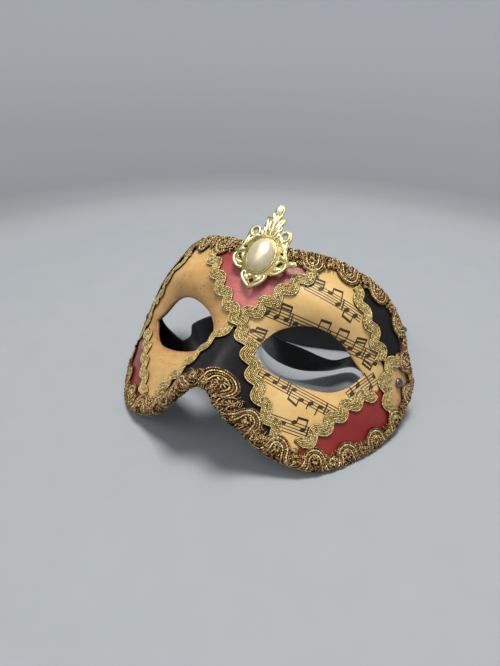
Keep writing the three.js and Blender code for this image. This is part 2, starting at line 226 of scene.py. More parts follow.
class Route:
    """A smooth line through points, measured along its length."""

    STEPS = 40

    def __init__(self, points: Sequence, closed: bool = False) -> None:
        """Bend a centripetal curve through points.

        Args:
            points: The points, in two or three dimensions.
            closed: Whether the line comes back to the first one.
        """
        self.closed = closed
        known = np.asarray(points, float)
        if closed:
            ends = np.vstack([known[-1:], known, known[:2]])
        else:
            ends = np.vstack([2 * known[:1] - known[1:2], known, 2 * known[-1:] - known[-2:-1]])
        share = (np.arange(self.STEPS) / self.STEPS)[:, None]
        pieces = [self._span(*ends[k:k + 4], share) for k in range(len(ends) - 3)]
        self.line = np.vstack([*pieces, known[:1] if closed else known[-1:]])
        self.run = lengths(self.line)
        self.length = float(self.run[-1])

    @staticmethod
    def _span(p0: Points, p1: Points, p2: Points, p3: Points, share: Points) -> Points:
        """Bend the curve between two neighbouring points.

        Args:
            p0: The point before.
            p1: The start.
            p2: The end.
            p3: The point after.
            share: Shares of the way, in a column.

        Returns:
            The points at these shares.
        """
        d0, d1, d2 = (math.sqrt(np.linalg.norm(b - a)) for a, b in ((p0, p1), (p1, p2), (p2, p3)))
        way1 = ((p1 - p0) / d0 - (p2 - p0) / (d0 + d1) + (p2 - p1) / d1) * d1
        way2 = ((p2 - p1) / d1 - (p3 - p1) / (d1 + d2) + (p3 - p2) / d2) * d1
        bend = -3 * p1 + 3 * p2 - 2 * way1 - way2
        turn = 2 * p1 - 2 * p2 + way1 + way2
        return p1 + way1 * share + bend * share**2 + turn * share**3

    def at(self, run: Points) -> Points:
        """Find points by their length along the line.

        Args:
            run: Lengths from the start.

        Returns:
            One row for each length.
        """
        run = np.asarray(run, float)
        run = run % self.length if self.closed else run
        return np.stack([np.interp(run, self.run, column) for column in self.line.T], axis=-1)

    def share(self, share: Points) -> Points:
        """Return the points at shares of the way, counted in the given points and not in length."""
        index = np.asarray(share, float) * (len(self.line) - 1)
        return np.stack([np.interp(index, np.arange(len(self.line)), c) for c in self.line.T], axis=-1)

    def way(self, run: Points) -> Points:
        """Find the line's direction.

        Args:
            run: Lengths from the start.

        Returns:
            One vector of length 1 for each length.
        """
        run = np.asarray(run, float)
        step = 0.4
        if self.closed:
            return unit(self.at(run + step) - self.at(run - step))
        low, high = np.maximum(run - step, 0), np.minimum(run + step, self.length)
        return unit(self.at(high) - self.at(low))


def lattice(
    name: str,
    across: int,
    rows: int,
    place: Callable[[Points, Points], Points],
    weave: Callable[[Points, Points], Points],
    marks: Optional[dict] = None,
    drop: Optional[Callable[[Points, Points], Points]] = None,
) -> bpy.types.Mesh:
    """Bend a flat grid into a shape and join what then meets.

    Args:
        name: The mesh's name.
        across: Faces from one side of the grid to the other.
        rows: Rows of points along the grid.
        place: Gives the place in the frame of the points with these indices across and along.
        weave: Gives their place on the piece's own pattern, in millimetres.
        marks: Values from 0 to 1 of named masks, by the same indices.
        drop: Tells of each face, by the indices of its first corner, whether it is left out.

    Returns:
        The closed mesh, with its pattern in the UV map "Weave".
    """
    grid = bmesh.new()
    bmesh.ops.create_grid(grid, x_segments=across, y_segments=rows - 1, size=0.5)
    mesh = bpy.data.meshes.new(name)
    grid.to_mesh(mesh)
    grid.free()
    flat = np.empty(len(mesh.vertices) * 3)
    mesh.vertices.foreach_get("co", flat)
    flat = flat.reshape(-1, 3)
    low, high = flat.min(axis=0), flat.max(axis=0)
    i = np.rint((flat[:, 0] - low[0]) / (high[0] - low[0]) * across).astype(int)
    j = np.rint((flat[:, 1] - low[1]) / (high[1] - low[1]) * (rows - 1)).astype(int)
    mesh.vertices.foreach_set("co", place(i, j).ravel())
    corners = np.empty(len(mesh.loops), int)
    mesh.loops.foreach_get("vertex_index", corners)
    pattern = mesh.uv_layers.new(name="Weave")
    pattern.data.foreach_set("uv", (weave(i, j) * MM)[corners].ravel())
    for mark, values in (marks or {}).items():
        layer = mesh.attributes.new(mark, "FLOAT", "POINT")
        layer.data.foreach_set("value", values(i, j).astype(float))
    shape = bmesh.new()
    shape.from_mesh(mesh)
    if drop is not None:
        shape.faces.ensure_lookup_table()
        first_i = np.array([min(i[v.index] for v in face.verts) for face in shape.faces])
        first_j = np.array([min(j[v.index] for v in face.verts) for face in shape.faces])
        unwanted = [shape.faces[k] for k in np.flatnonzero(drop(first_i, first_j))]
        bmesh.ops.delete(shape, geom=unwanted, context="FACES")
    bmesh.ops.remove_doubles(shape, verts=shape.verts, dist=2e-6)
    bmesh.ops.recalc_face_normals(shape, faces=shape.faces)
    shape.to_mesh(mesh)
    shape.free()
    mesh.shade_smooth()
    return mesh


def add_piece(mesh: bpy.types.Mesh, slot: str, finish: bpy.types.Material, *nodes: str) -> bpy.types.Object:
    """Put a mesh into the scene as a piece that rides on the mask and replaces its CAD nodes.

    Args:
        mesh: The piece's mesh.
        slot: Not used.
        finish: Its material.
        nodes: The CAD nodes that it replaces.

    Returns:
        The object in the scene.
    """
    piece = bpy.data.objects.new(mesh.name, mesh)
    bpy.context.scene.collection.objects.link(piece)
    if not mesh.materials:
        mesh.materials.append(finish)
    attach(piece, "root")
    if nodes:
        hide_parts(*nodes)
    log.info("%s: %d faces", piece.name, len(mesh.polygons))
    return piece


@dataclass
class Cords:
    """Round threads that are swept along lines and end up in one mesh."""

    name: str
    sides: int = 6
    lines: list = field(default_factory=list)

    def add(
        self,
        line: Points,
        up: Points,
        radius: Points,
        tone: float = 1.0,
        copper: float = 0.0,
        flat: float = 1.0,
        closed: bool = False,
    ) -> None:
        """Add one thread.

        Args:
            line: The points of its middle line, upright, in millimetres.
            up: The direction at each point in which it is flattened.
            radius: Its radius at each point.
            tone: How light its yarn is, from 0 to 1.
            copper: How much of its yarn is copper and not gold, from 0 to 1.
            flat: Its height as a share of its width.
            closed: Whether it is a ring, whose last point is its first one.
        """
        way = np.gradient(line, axis=0)
        if closed:
            way[0] = way[-1] = line[1] - line[-2]
        side = unit(np.cross(unit(way), up))
        up = unit(np.cross(side, unit(way)))
        radius = np.broadcast_to(radius, len(line)).copy()
        if not closed:
            radius[0] = radius[-1] = 0.0
        run = lengths(line)
        tint = np.tile([tone, copper], (len(line), 1))
        self.lines.append((line, side, up * flat, radius, run, tint))

    def mesh(self) -> bpy.types.Mesh:
        """Sweep all the threads.

        Returns:
            One mesh, with masks for tone, copper and crown, the last for painted shade on the threads'
            sides.
        """
        line, side, up, radius, run, tint = (np.concatenate(part) for part in zip(*self.lines))
        ends = np.cumsum([len(part[0]) for part in self.lines]) - 1
        numbers = np.repeat(np.arange(len(self.lines)), [len(part[0]) for part in self.lines])

        def place(i: Points, j: Points) -> Points:
            """Find the places of the threads' skins.

            Args:
                i: Indices across the grid.
                j: Indices along it.

            Returns:
                Points in the frame, in metres.
            """
            turn = (2 * math.pi * i / self.sides)[:, None]
            spoke = side[j] * np.cos(turn) + up[j] * np.sin(turn)
            settled = settle(line[j] + spoke * radius[j][:, None])
            settled[:, 2] = np.maximum(settled[:, 2], 0.0)
            return settled

        def weave(i: Points, j: Points) -> Points:
            """Return the length along a thread and the way round it."""
            return np.stack([run[j], i / self.sides + numbers[j]], axis=-1)

        return lattice(
            self.name, self.sides, len(line), place, weave,
            marks={
                "tone": lambda i, j: tint[j, 0],
                "copper": lambda i, j: tint[j, 1],
                # crown: 1 on a thread's top and 0 under it; the yarn finishes use it to paint shade on the
                # sides.
                "crown": lambda i, j: 0.5 + 0.5 * np.sin(2 * math.pi * i / self.sides),
            },
            drop=lambda i, j: np.isin(j, ends[:-1]),
        )


def srgb(red: int, green: int, blue: int) -> tuple:
    """Turn a colour as a screen shows it into a linear one.

    Args:
        red: From 0 to 255.
        green: From 0 to 255.
        blue: From 0 to 255.

    Returns:
        Linear red, green, blue and alpha, from 0 to 1.
    """
    def linear(value: float) -> float:
        """Return one linear channel."""
        value /= 255
        return value / 12.92 if value <= 0.04045 else ((value + 0.055) / 1.055) ** 2.4

    return (linear(red), linear(green), linear(blue), 1.0)


class Graph:
    """Adds and joins the nodes of one shader tree."""

    def __init__(self, tree: bpy.types.NodeTree) -> None:
        """Work on a tree."""
        self.tree = tree

    def node(self, kind: str, **settings: object) -> bpy.types.Node:
        """Add a node.

        Args:
            kind: The node's type.
            settings: Its properties.

        Returns:
            The node.
        """
        node = self.tree.nodes.new(kind)
        for key, value in settings.items():
            setattr(node, key, value)
        return node

    def feed(self, socket: bpy.types.NodeSocket, value: object) -> None:
        """Join a socket to an output, or give it a plain value.

        Args:
            socket: The input.
            value: An output socket or a plain value.
        """
        if isinstance(value, bpy.types.NodeSocket):
            self.tree.links.new(value, socket)
        else:
            socket.default_value = value

    def math(self, operation: str, *values: object) -> bpy.types.NodeSocket:
        """Add one sum.

        Args:
            operation: The sum's name.
            values: Its inputs.

        Returns:
            The output socket.
        """
        node = self.node("ShaderNodeMath", operation=operation)
        for socket, value in zip(node.inputs, values):
            self.feed(socket, value)
        return node.outputs[0]

    def mix(self, factor: object, first: object, second: object) -> bpy.types.NodeSocket:
        """Mix two colours.

        Args:
            factor: How much of the second one.
            first: A colour.
            second: A colour.

        Returns:
            The output socket.
        """
        node = self.node("ShaderNodeMix", data_type="RGBA")
        self.feed(node.inputs["Factor"], factor)
        self.feed(node.inputs[6], first)
        self.feed(node.inputs[7], second)
        return node.outputs[2]

    def noise(self, vector: object, scale: float, detail: float, rough: float) -> bpy.types.NodeSocket:
        """Add a noise from 0 to 1.

        Args:
            vector: The place.
            scale: Waves per unit of the place.
            detail: How many finer layers it has.
            rough: How strong they are.

        Returns:
            The output socket.
        """
        node = self.node("ShaderNodeTexNoise")
        self.feed(node.inputs["Vector"], vector)
        node.inputs["Scale"].default_value = scale
        node.inputs["Detail"].default_value = detail
        node.inputs["Roughness"].default_value = rough
        return node.outputs["Fac"]

    def steps(self, factor: object, *stops: tuple) -> bpy.types.NodeSocket:
        """Add a colour ramp.

        Args:
            factor: The place on the ramp.
            stops: Places and their colours.

        Returns:
            The output socket.
        """
        node = self.node("ShaderNodeValToRGB")
        ramp = node.color_ramp
        while len(ramp.elements) < len(stops):
            ramp.elements.new(0.5)
        for element, (place, colour) in zip(ramp.elements, stops):
            element.position = place
            element.color = colour
        self.feed(node.inputs["Fac"], factor)
        return node.outputs["Color"]

    def span(
        self, value: object, low: float, high: float, to_low: float = 0.0, to_high: float = 1.0
    ) -> bpy.types.NodeSocket:
        """Bring a value from one range to another and hold it there.

        Args:
            value: The value.
            low: The start of its range.
            high: The end of its range.
            to_low: What the start becomes.
            to_high: What the end becomes.

        Returns:
            The output socket.
        """
        node = self.node("ShaderNodeMapRange")
        for socket, number in zip(node.inputs, (value, low, high, to_low, to_high)):
            self.feed(socket, number)
        return node.outputs[0]

    def scaled(self, vector: object, scale: tuple, turn: float) -> bpy.types.NodeSocket:
        """Stretch a vector, then turn it about Z.

        Args:
            vector: The vector.
            scale: The stretch along each axis.
            turn: The angle.

        Returns:
            The output socket.
        """
        node = self.node("ShaderNodeMapping")
        self.feed(node.inputs["Vector"], vector)
        node.inputs["Scale"].default_value = scale
        node.inputs["Rotation"].default_value = (0, 0, turn)
        return node.outputs[0]

    def split(self, vector: object) -> tuple:
        """Split a vector.

        Args:
            vector: The vector.

        Returns:
            The output sockets of its three parts.
        """
        node = self.node("ShaderNodeSeparateXYZ")
        self.feed(node.inputs[0], vector)
        return tuple(node.outputs)

    def mark(self, name: str) -> bpy.types.NodeSocket:
        """Return a mask that the mesh holds."""
        return self.node("ShaderNodeAttribute", attribute_name=name).outputs["Fac"]

    def place(self) -> bpy.types.NodeSocket:
        """Return the place on the object, in metres."""
        return self.node("ShaderNodeTexCoord").outputs["Object"]

    def pattern(self) -> bpy.types.NodeSocket:
        """Return the place on the piece's own pattern, in metres."""
        return self.node("ShaderNodeUVMap", uv_map="Weave").outputs[0]

    def bump(
        self, height: object, strength: float, distance: float, before: object = None
    ) -> bpy.types.NodeSocket:
        """Bend a normal by a height.

        Args:
            height: The height, from 0 to 1.
            strength: How much it counts.
            distance: Its full height, in metres.
            before: A normal bent before.

        Returns:
            The output socket.
        """
        node = self.node("ShaderNodeBump")
        node.inputs["Strength"].default_value = strength
        node.inputs["Distance"].default_value = distance
        self.feed(node.inputs["Height"], height)
        if before is not None:
            self.feed(node.inputs["Normal"], before)
        return node.outputs[0]

    def group(self, tree: bpy.types.NodeTree, **values: object) -> bpy.types.Node:
        """Add a shared group.

        Args:
            tree: The group.
            values: Its inputs by name.

        Returns:
            The group's node.
        """
        node = self.node("ShaderNodeGroup")
        node.node_tree = tree
        for key, value in values.items():
            self.feed(node.inputs[key], value)
        return node


def new_group(name: str, inputs: dict, outputs: dict) -> tuple:
    """Start a shared group of shader nodes.

    Args:
        name: The group's name.
        inputs: Socket types by name.
        outputs: Socket types by name.

    Returns:
        The tree, its graph, its input node and its output node.
    """
    tree = bpy.data.node_groups.new(name, "ShaderNodeTree")
    for key, kind in inputs.items():
        tree.interface.new_socket(key, in_out="INPUT", socket_type=kind)
    for key, kind in outputs.items():
        tree.interface.new_socket(key, in_out="OUTPUT", socket_type=kind)
    graph = Graph(tree)
    return tree, graph, graph.node("NodeGroupInput"), graph.node("NodeGroupOutput")


VECTOR, FLOAT = "NodeSocketVector", "NodeSocketFloat"


@dataclass(frozen=True)
class PrintedMusic:
    """Staves with notes for the printed paper: an own run of notes in no tune."""

    gap: float = 1.35
    line: float = 0.48
    cell: float = 5.0
    bar: float = 20.0
    reach: float = 3.9
    levels: float = 8.0
    head: tuple = (1.4, 1.05)
    head_slant: float = -0.25
    stem_off: float = 1.1
    stem_half: float = 0.33
    beam_halves: tuple = (0.6, 0.5)
    beam_gap: float = 1.7

    def build(self) -> bpy.types.NodeTree:
        """Draw one stave along X, in millimetres.

        Returns:
            The group, whose output is the ink.
        """
        tree, g, given, out = new_group(
            "Printed stave", {"Vector": VECTOR, "Length": FLOAT, "Seed": FLOAT}, {"Ink": FLOAT}
        )
        # The five lines, and a bar line after every few notes.
        s, t, _ = g.split(given.outputs["Vector"])
        size_t = g.math("ABSOLUTE", t)
        in_stave = g.math("LESS_THAN", size_t, 2 * self.gap + self.line / 2)
        steps = g.math("DIVIDE", t, self.gap)
        off_line = g.math("ABSOLUTE", g.math("SUBTRACT", steps, g.math("ROUND", steps)))
        lines = g.math("LESS_THAN", off_line, self.line / 2 / self.gap)
        bars = g.math("DIVIDE", s, self.bar)
        off_bar = g.math("ABSOLUTE", g.math("SUBTRACT", bars, g.math("ROUND", bars)))
        bars = g.math("LESS_THAN", off_bar, self.line * 0.8 / self.bar)
        stave = g.math("MULTIPLY", in_stave, g.math("MAXIMUM", lines, bars))

        # One slanting oval head in each cell, at a height by chance.
        number = g.math("FLOOR", g.math("DIVIDE", s, self.cell))
        x = g.math("SUBTRACT", s, g.math("MULTIPLY", g.math("ADD", number, 0.5), self.cell))
        chance = self._chance(g, g.math("MULTIPLY_ADD", number, 1.37, given.outputs["Seed"]))
        level = g.math("ROUND", g.math("MULTIPLY", chance, self.levels))
        level = g.math("SUBTRACT", level, self.levels / 2)
        height = g.math("MULTIPLY", level, self.gap / 2)
        above = g.math("SUBTRACT", t, height)
        skew = g.math("MULTIPLY_ADD", x, self.head_slant, above)
        oval = g.math(
            "ADD",
            g.math("POWER", g.math("ABSOLUTE", g.math("DIVIDE", x, self.head[0])), 2.0),
            g.math("POWER", g.math("ABSOLUTE", g.math("DIVIDE", skew, self.head[1])), 2.0),
        )
        heads = g.math("LESS_THAN", oval, 1.0)

        # Stems up or down to the beam that joins two neighbours, all by the pair's own chance.
        two = g.math("FLOOR", g.math("DIVIDE", number, 2.0))
        turn = self._chance(g, g.math("MULTIPLY_ADD", two, 2.31, given.outputs["Seed"]))
        sense = g.math("MULTIPLY_ADD", g.math("GREATER_THAN", turn, 0.45), 2.0, -1.0)
        middle = g.math("MULTIPLY", g.math("MULTIPLY_ADD", two, 2.0, 1.0), self.cell)
        from_middle = g.math("SUBTRACT", s, middle)
        slope = g.math("MULTIPLY", g.math("SUBTRACT", turn, 0.5), 0.5)
        beam = g.math(
            "MULTIPLY_ADD", from_middle, slope, g.math("MULTIPLY", sense, self.reach * self.gap)
        )
        below_beam = g.math("SUBTRACT", t, beam)
        from_stem = g.math("ABSOLUTE", g.math("MULTIPLY_ADD", sense, -self.stem_off, x))
        between = g.math("LESS_THAN", g.math("MULTIPLY", above, below_beam), 0.0)
        stems = g.math("MULTIPLY", g.math("LESS_THAN", from_stem, self.stem_half), between)
        from_pair = g.math("ABSOLUTE", g.math("MULTIPLY_ADD", sense, -self.stem_off, from_middle))
        first = g.math("LESS_THAN", g.math("ABSOLUTE", below_beam), self.beam_halves[0])
        second = g.math("ABSOLUTE", g.math("MULTIPLY_ADD", sense, self.beam_gap, below_beam))
        twice = g.math("LESS_THAN", g.math("FRACT", g.math("MULTIPLY", turn, 13.0)), 0.55)
        second = g.math("MULTIPLY", g.math("LESS_THAN", second, self.beam_halves[1]), twice)
        beams = g.math(
            "MULTIPLY",
            g.math("LESS_THAN", from_pair, self.cell / 2 + self.stem_half),
            g.math("MAXIMUM", first, second),
        )
        paired = g.math("LESS_THAN", g.math("FRACT", g.math("MULTIPLY", turn, 7.0)), 0.8)
        notes = g.math("MAXIMUM", g.math("MAXIMUM", heads, stems), g.math("MULTIPLY", beams, paired))
        ink = g.math("MAXIMUM", stave, notes)
        inside = g.math(
            "MULTIPLY", g.math("GREATER_THAN", s, 0.0), g.math("LESS_THAN", s, given.outputs["Length"])
        )
        g.feed(out.inputs["Ink"], g.math("MULTIPLY", ink, inside))
        return tree

    @staticmethod
    def _chance(g: Graph, number: object) -> bpy.types.NodeSocket:
        """Draw the chance that belongs to a whole number.

        Args:
            g: The tree's graph.
            number: The whole number.

        Returns:
            A number from 0 to 1.
        """
        node = g.node("ShaderNodeTexWhiteNoise", noise_dimensions="1D")
        g.feed(node.inputs["W"], number)
        return node.outputs["Value"]


def mottle_group() -> bpy.types.NodeTree:
    """Make the uneven tone that all finishes share.

    Returns:
        The group: clouds, grain, speckle, and flecks of two chances.
    """
    outputs = {"Clouds": FLOAT, "Grain": FLOAT, "Speckle": FLOAT, "Glitter": FLOAT, "Tint": FLOAT}
    tree, g, given, out = new_group("Uneven tone", {"Vector": VECTOR}, outputs)
    vector = given.outputs["Vector"]
    cells = g.node("ShaderNodeTexVoronoi")
    g.feed(cells.inputs["Vector"], vector)
    cells.inputs["Scale"].default_value = 1250.0
    split = g.node("ShaderNodeSeparateColor")
    g.feed(split.inputs[0], cells.outputs["Color"])
    # Random cells that the yarn finishes use as painted glints.
    g.feed(out.inputs["Glitter"], split.outputs[0])
    g.feed(out.inputs["Tint"], split.outputs[1])
    g.feed(out.inputs["Clouds"], g.span(g.noise(vector, 55.0, 4.0, 0.6), 0.3, 0.7))
    g.feed(out.inputs["Grain"], g.span(g.noise(vector, 420.0, 4.0, 0.6), 0.3, 0.7))
    g.feed(out.inputs["Speckle"], g.span(g.noise(vector, 1500.0, 2.0, 0.7), 0.35, 0.65))
    return tree


def yarn_group() -> bpy.types.NodeTree:
    """Make the slanting turns of foil round a metal-wrapped yarn.

    Returns:
        The group, which reads a thread's own pattern.
    """
    tree, g, given, out = new_group(
        "Wrapped yarn", {"Vector": VECTOR, "Pitch": FLOAT}, {"Turns": FLOAT, "Glint": FLOAT}
    )
    length, round_it, _ = g.split(given.outputs["Vector"])
    along = g.math("DIVIDE", length, given.outputs["Pitch"])
    around = g.math("DIVIDE", round_it, MM)
    phase = g.math("ADD", along, around)
    wave = g.math("SINE", g.math("MULTIPLY", phase, 2 * math.pi))
    g.feed(out.inputs["Turns"], g.math("MULTIPLY_ADD", wave, 0.5, 0.5))
    number = g.node("ShaderNodeTexWhiteNoise", noise_dimensions="1D")
    g.feed(number.inputs["W"], g.math("FLOOR", phase))
    g.feed(out.inputs["Glint"], number.outputs["Value"])
    return tree


@dataclass(frozen=True)
class Finish:
    """A material with its shader."""

    name: str

    def start(self, **plain: object) -> tuple:
        """Start the material.

        Args:
            plain: Values of the shader's inputs by name.

        Returns:
            The material, its graph and its shader.
        """
        material = bpy.data.materials.new(self.name)
        material.use_nodes = True
        graph = Graph(material.node_tree)
        shader = material.node_tree.nodes["Principled BSDF"]
        for key, value in plain.items():
            shader.inputs[key.replace("_", " ").title().replace("Ior", "IOR")].default_value = value
        return material, graph, shader


@dataclass(frozen=True)
class Stave:
    """Where one printed stave lies on the paper, from arc and height to arc and height."""

    start: tuple
    end: tuple
    seed: float


class Panel(Enum):
    """The masks that the wall's mesh holds for its paints."""

    RED = "red"
    BLACK = "black"
    LENS = "lens"
    PRINT = "print"
    INSIDE = "inside"
    # Rubbed brown edges, with painted shade in the far panel's valley.
    RUB = "rub"


@dataclass(frozen=True)
class PaintedPaper(Finish):
    """The mask's face: printed paper, gold paint, red and black panels under one varnish."""

    staves: tuple = (
        Stave((27.8, 34.0), (58.0, 28.2), 3.0),
        Stave((5.0, 17.5), (73.5, 12.3), 8.0),
        Stave((5.0, 3.8), (17.0, 1.2), 15.0),
        Stave((14.0, -11.2), (62.5, -19.5), 21.0),
        Stave((28.0, -31.1), (52.0, -31.5), 34.0),
        Stave((64.0, -9.5), (75.0, 4.5), 42.0),
    )
    paper: tuple = (srgb(226, 184, 112), srgb(236, 200, 134))
    fibres: tuple = srgb(200, 150, 84)
    gold: tuple = (srgb(200, 155, 90), srgb(230, 188, 120))
    streak: tuple = srgb(196, 140, 78)
    speck: tuple = srgb(96, 60, 34)
    # Brown of the rubbed edges, also the colour of the painted shade in the far panel's valley.
    stain_and_shade: tuple = srgb(136, 82, 44)
    ink: tuple = srgb(14, 10, 13)
    red: tuple = (srgb(124, 24, 20), srgb(152, 42, 34))
    # Pale pink of the red panel's brush strokes and of its painted sheen.
    pink_strokes_and_sheen: tuple = srgb(252, 152, 144)
    black: tuple = (srgb(15, 15, 16), srgb(28, 27, 28))
    lens: tuple = (srgb(206, 160, 104), srgb(218, 176, 120))
    inside: tuple = (srgb(20, 19, 21), srgb(34, 32, 34))

    def build(self, mottle: bpy.types.NodeTree, stave: bpy.types.NodeTree) -> bpy.types.Material:
        """Make the material.

        Args:
            mottle: The group for uneven tone.
            stave: The group for a printed stave.

        Returns:
            The finished material.
        """
        material, g, shader = self.start(coat_roughness=0.25)
        tone = g.group(mottle, Vector=g.place())
        clouds, grain = tone.outputs["Clouds"], tone.outputs["Grain"]
        pattern = g.pattern()
        streaks = g.noise(g.scaled(pattern, (90.0, 330.0, 1.0), turn=0.7), 1.0, 5.0, 0.7)
        rub = g.mark(Panel.RUB.value)

        # Gold paint on one half and printed paper on the other, both rubbed brown along their edges; the
        # brown in the far panel's valley under the brow is partly that stain and partly painted shade.
        paper = g.mix(clouds, *self.paper)
        paper = g.mix(g.math("MULTIPLY", grain, 0.25), paper, self.fibres)
        paint = g.mix(clouds, *self.gold)
        paint = g.mix(g.math("MULTIPLY", g.span(streaks, 0.42, 0.75), 0.4), paint, self.streak)
        specks = g.math("GREATER_THAN", tone.outputs["Tint"], 0.985)
        paint = g.mix(g.math("MULTIPLY", specks, 0.5), paint, self.speck)
        gold = g.mix(g.mark(Panel.PRINT.value), paint, paper)
        stain_and_shade = g.math("MULTIPLY", rub, g.span(streaks, 0.3, 0.7, 0.45, 1.0))
        gold = g.mix(stain_and_shade, gold, self.stain_and_shade)
        ink = self._ink(g, pattern, stave)
        faded = g.math("MULTIPLY", ink, g.span(clouds, 0.0, 1.0, 1.0, 0.92))
        shown = g.math("MULTIPLY", faded, g.mark(Panel.PRINT.value))
        colour = g.mix(shown, gold, self.ink)

        # The painted panels over them; the red one has pale pink brush strokes below the forehead that grow
        # into a painted sheen towards the V's lower part.
        red = g.mix(clouds, *self.red)
        _, height, _ = g.split(pattern)
        strokes_and_sheen = g.span(streaks, 0.3, 0.7, 0.5, 1.0)
        # Painted sheen: strongest towards the V's lower part, fading towards the forehead.
        strokes_and_sheen = g.math("MULTIPLY", strokes_and_sheen, g.span(height, 0.0, 0.005))
        strokes_and_sheen = g.math("MULTIPLY", strokes_and_sheen, g.span(height, 0.038, 0.014, 0.15, 1.0))
        red = g.mix(strokes_and_sheen, red, self.pink_strokes_and_sheen)
        black = g.mix(grain, *self.black)
        lens = g.mix(clouds, *self.lens)
        colour = g.mix(g.mark(Panel.RED.value), colour, red)
        colour = g.mix(g.mark(Panel.BLACK.value), colour, black)
        colour = g.mix(g.mark(Panel.LENS.value), colour, lens)
        inner = g.mix(grain, *self.inside)
        colour = g.mix(g.mark(Panel.INSIDE.value), colour, inner)
        g.feed(shader.inputs["Base Color"], colour)

        # A thin varnish on the red, a duller black and a dull back, all a little uneven.
        rough = g.math("MULTIPLY_ADD", g.mark(Panel.RED.value), -0.1, g.span(grain, 0.0, 1.0, 0.42, 0.55))
        rough = g.math("MULTIPLY_ADD", g.mark(Panel.BLACK.value), 0.1, rough)
        rough = g.math("MULTIPLY_ADD", g.mark(Panel.INSIDE.value), 0.2, rough)
        g.feed(shader.inputs["Roughness"], rough)
        g.feed(shader.inputs["Coat Weight"], g.math("MULTIPLY", g.mark(Panel.RED.value), 0.25))
        shine = g.math("MULTIPLY_ADD", g.mark(Panel.BLACK.value), -0.25, 0.5)
        g.feed(shader.inputs["Specular IOR Level"], shine)
        dents = g.noise(g.place(), 130.0, 3.0, 0.5)
        normal = g.bump(dents, 0.5, 0.0008)
        normal = g.bump(streaks, 0.12, 0.0003, normal)
        normal = g.bump(tone.outputs["Speckle"], 0.12, 0.0001, normal)
        g.feed(shader.inputs["Normal"], normal)
        return material

    def _ink(self, g: Graph, pattern: object, stave: bpy.types.NodeTree) -> bpy.types.NodeSocket:
        """Print the staves.

        Args:
            g: The tree's graph.
            pattern: The place on the paper.
            stave: The group for one stave.

        Returns:
            Where there is ink, from 0 to 1.
        """
        ink = 0.0
        for line in self.staves:
            (u0, v0), (u1, v1) = line.start, line.end
            turn = math.atan2(v1 - v0, u1 - u0)
            node = g.node("ShaderNodeMapping", vector_type="TEXTURE")
            g.feed(node.inputs["Vector"], pattern)
            node.inputs["Location"].default_value = (u0 * MM, v0 * MM, 0)
            node.inputs["Rotation"].default_value = (0, 0, turn)
            node.inputs["Scale"].default_value = (MM, MM, MM)
            length = math.hypot(u1 - u0, v1 - v0)
            drawn = g.group(stave, Vector=node.outputs[0], Length=length, Seed=line.seed)
            ink = g.math("MAXIMUM", drawn.outputs["Ink"], ink)
        return ink


@dataclass(frozen=True)
class MetalYarn(Finish):
    """Braid of cotton cord wrapped in metal foil, with painted shade on its cords' sides and in the grooves
    between the foil's turns, and painted glints.
    """

    # The dark colour is painted shade and the light one painted glints.
    dark: tuple
    middle: tuple
    light: tuple
    pitch: float
    metallic: float
    ladder: float = 0.2
    glitter: float = 0.65
    contrast: float = 0.25
    # Below this crown value a cord's side lies in painted shade.
    edge: float = 0.5
    flecks: float = 0.25
    copper: tuple = srgb(178, 100, 48)

    def build(self, mottle: bpy.types.NodeTree, yarn: bpy.types.NodeTree) -> bpy.types.Material:
        """Make the material.

        Args:
            mottle: The group for uneven tone.
            yarn: The group for wrapped yarn.

        Returns:
            The finished material.
        """
        material, g, shader = self.start(metallic=self.metallic, specular_ior_level=0.6)
        tone = g.group(mottle, Vector=g.place())
        wrapped = g.group(yarn, Vector=g.pattern(), Pitch=self.pitch * MM)
        turns, glint = wrapped.outputs["Turns"], wrapped.outputs["Glint"]
        # Painted light: glint flecks and the foil's turns lit and shaded, all darkened towards each cord's
        # sides as painted shade.
        light = g.math("MULTIPLY", tone.outputs["Speckle"], 0.12)
        light = g.math("MULTIPLY_ADD", turns, self.ladder, light)
        light = g.math("MULTIPLY_ADD", tone.outputs["Glitter"], self.glitter, light)
        light = g.math("MULTIPLY_ADD", g.mark("tone"), self.contrast, light)
        crown = g.span(g.mark("crown"), self.edge, 0.98, 0.1, 1.0)
        light = g.math("MULTIPLY", light, crown)
        # From painted shade through the yarn's colour to painted glints.
        colour = g.steps(light, (0.1, self.dark), (0.5, self.middle), (0.88, self.light))
        chance = g.math("GREATER_THAN", tone.outputs["Tint"], 1.0 - self.flecks)
        copper = g.math("MULTIPLY", g.mark("copper"), 0.6)
        copper = g.math("MAXIMUM", copper, g.math("MULTIPLY", chance, 0.55))
        copper = g.math("MULTIPLY", copper, g.span(light, 0.1, 0.6, 0.2, 0.9))
        colour = g.mix(copper, colour, self.copper)
        g.feed(shader.inputs["Base Color"], colour)
        g.feed(shader.inputs["Roughness"], g.span(glint, 0.0, 1.0, 0.28, 0.6))
        normal = g.bump(turns, 0.6, 0.0004)
        normal = g.bump(tone.outputs["Speckle"], 0.5, 0.0003, normal)
        g.feed(shader.inputs["Normal"], normal)
        return material


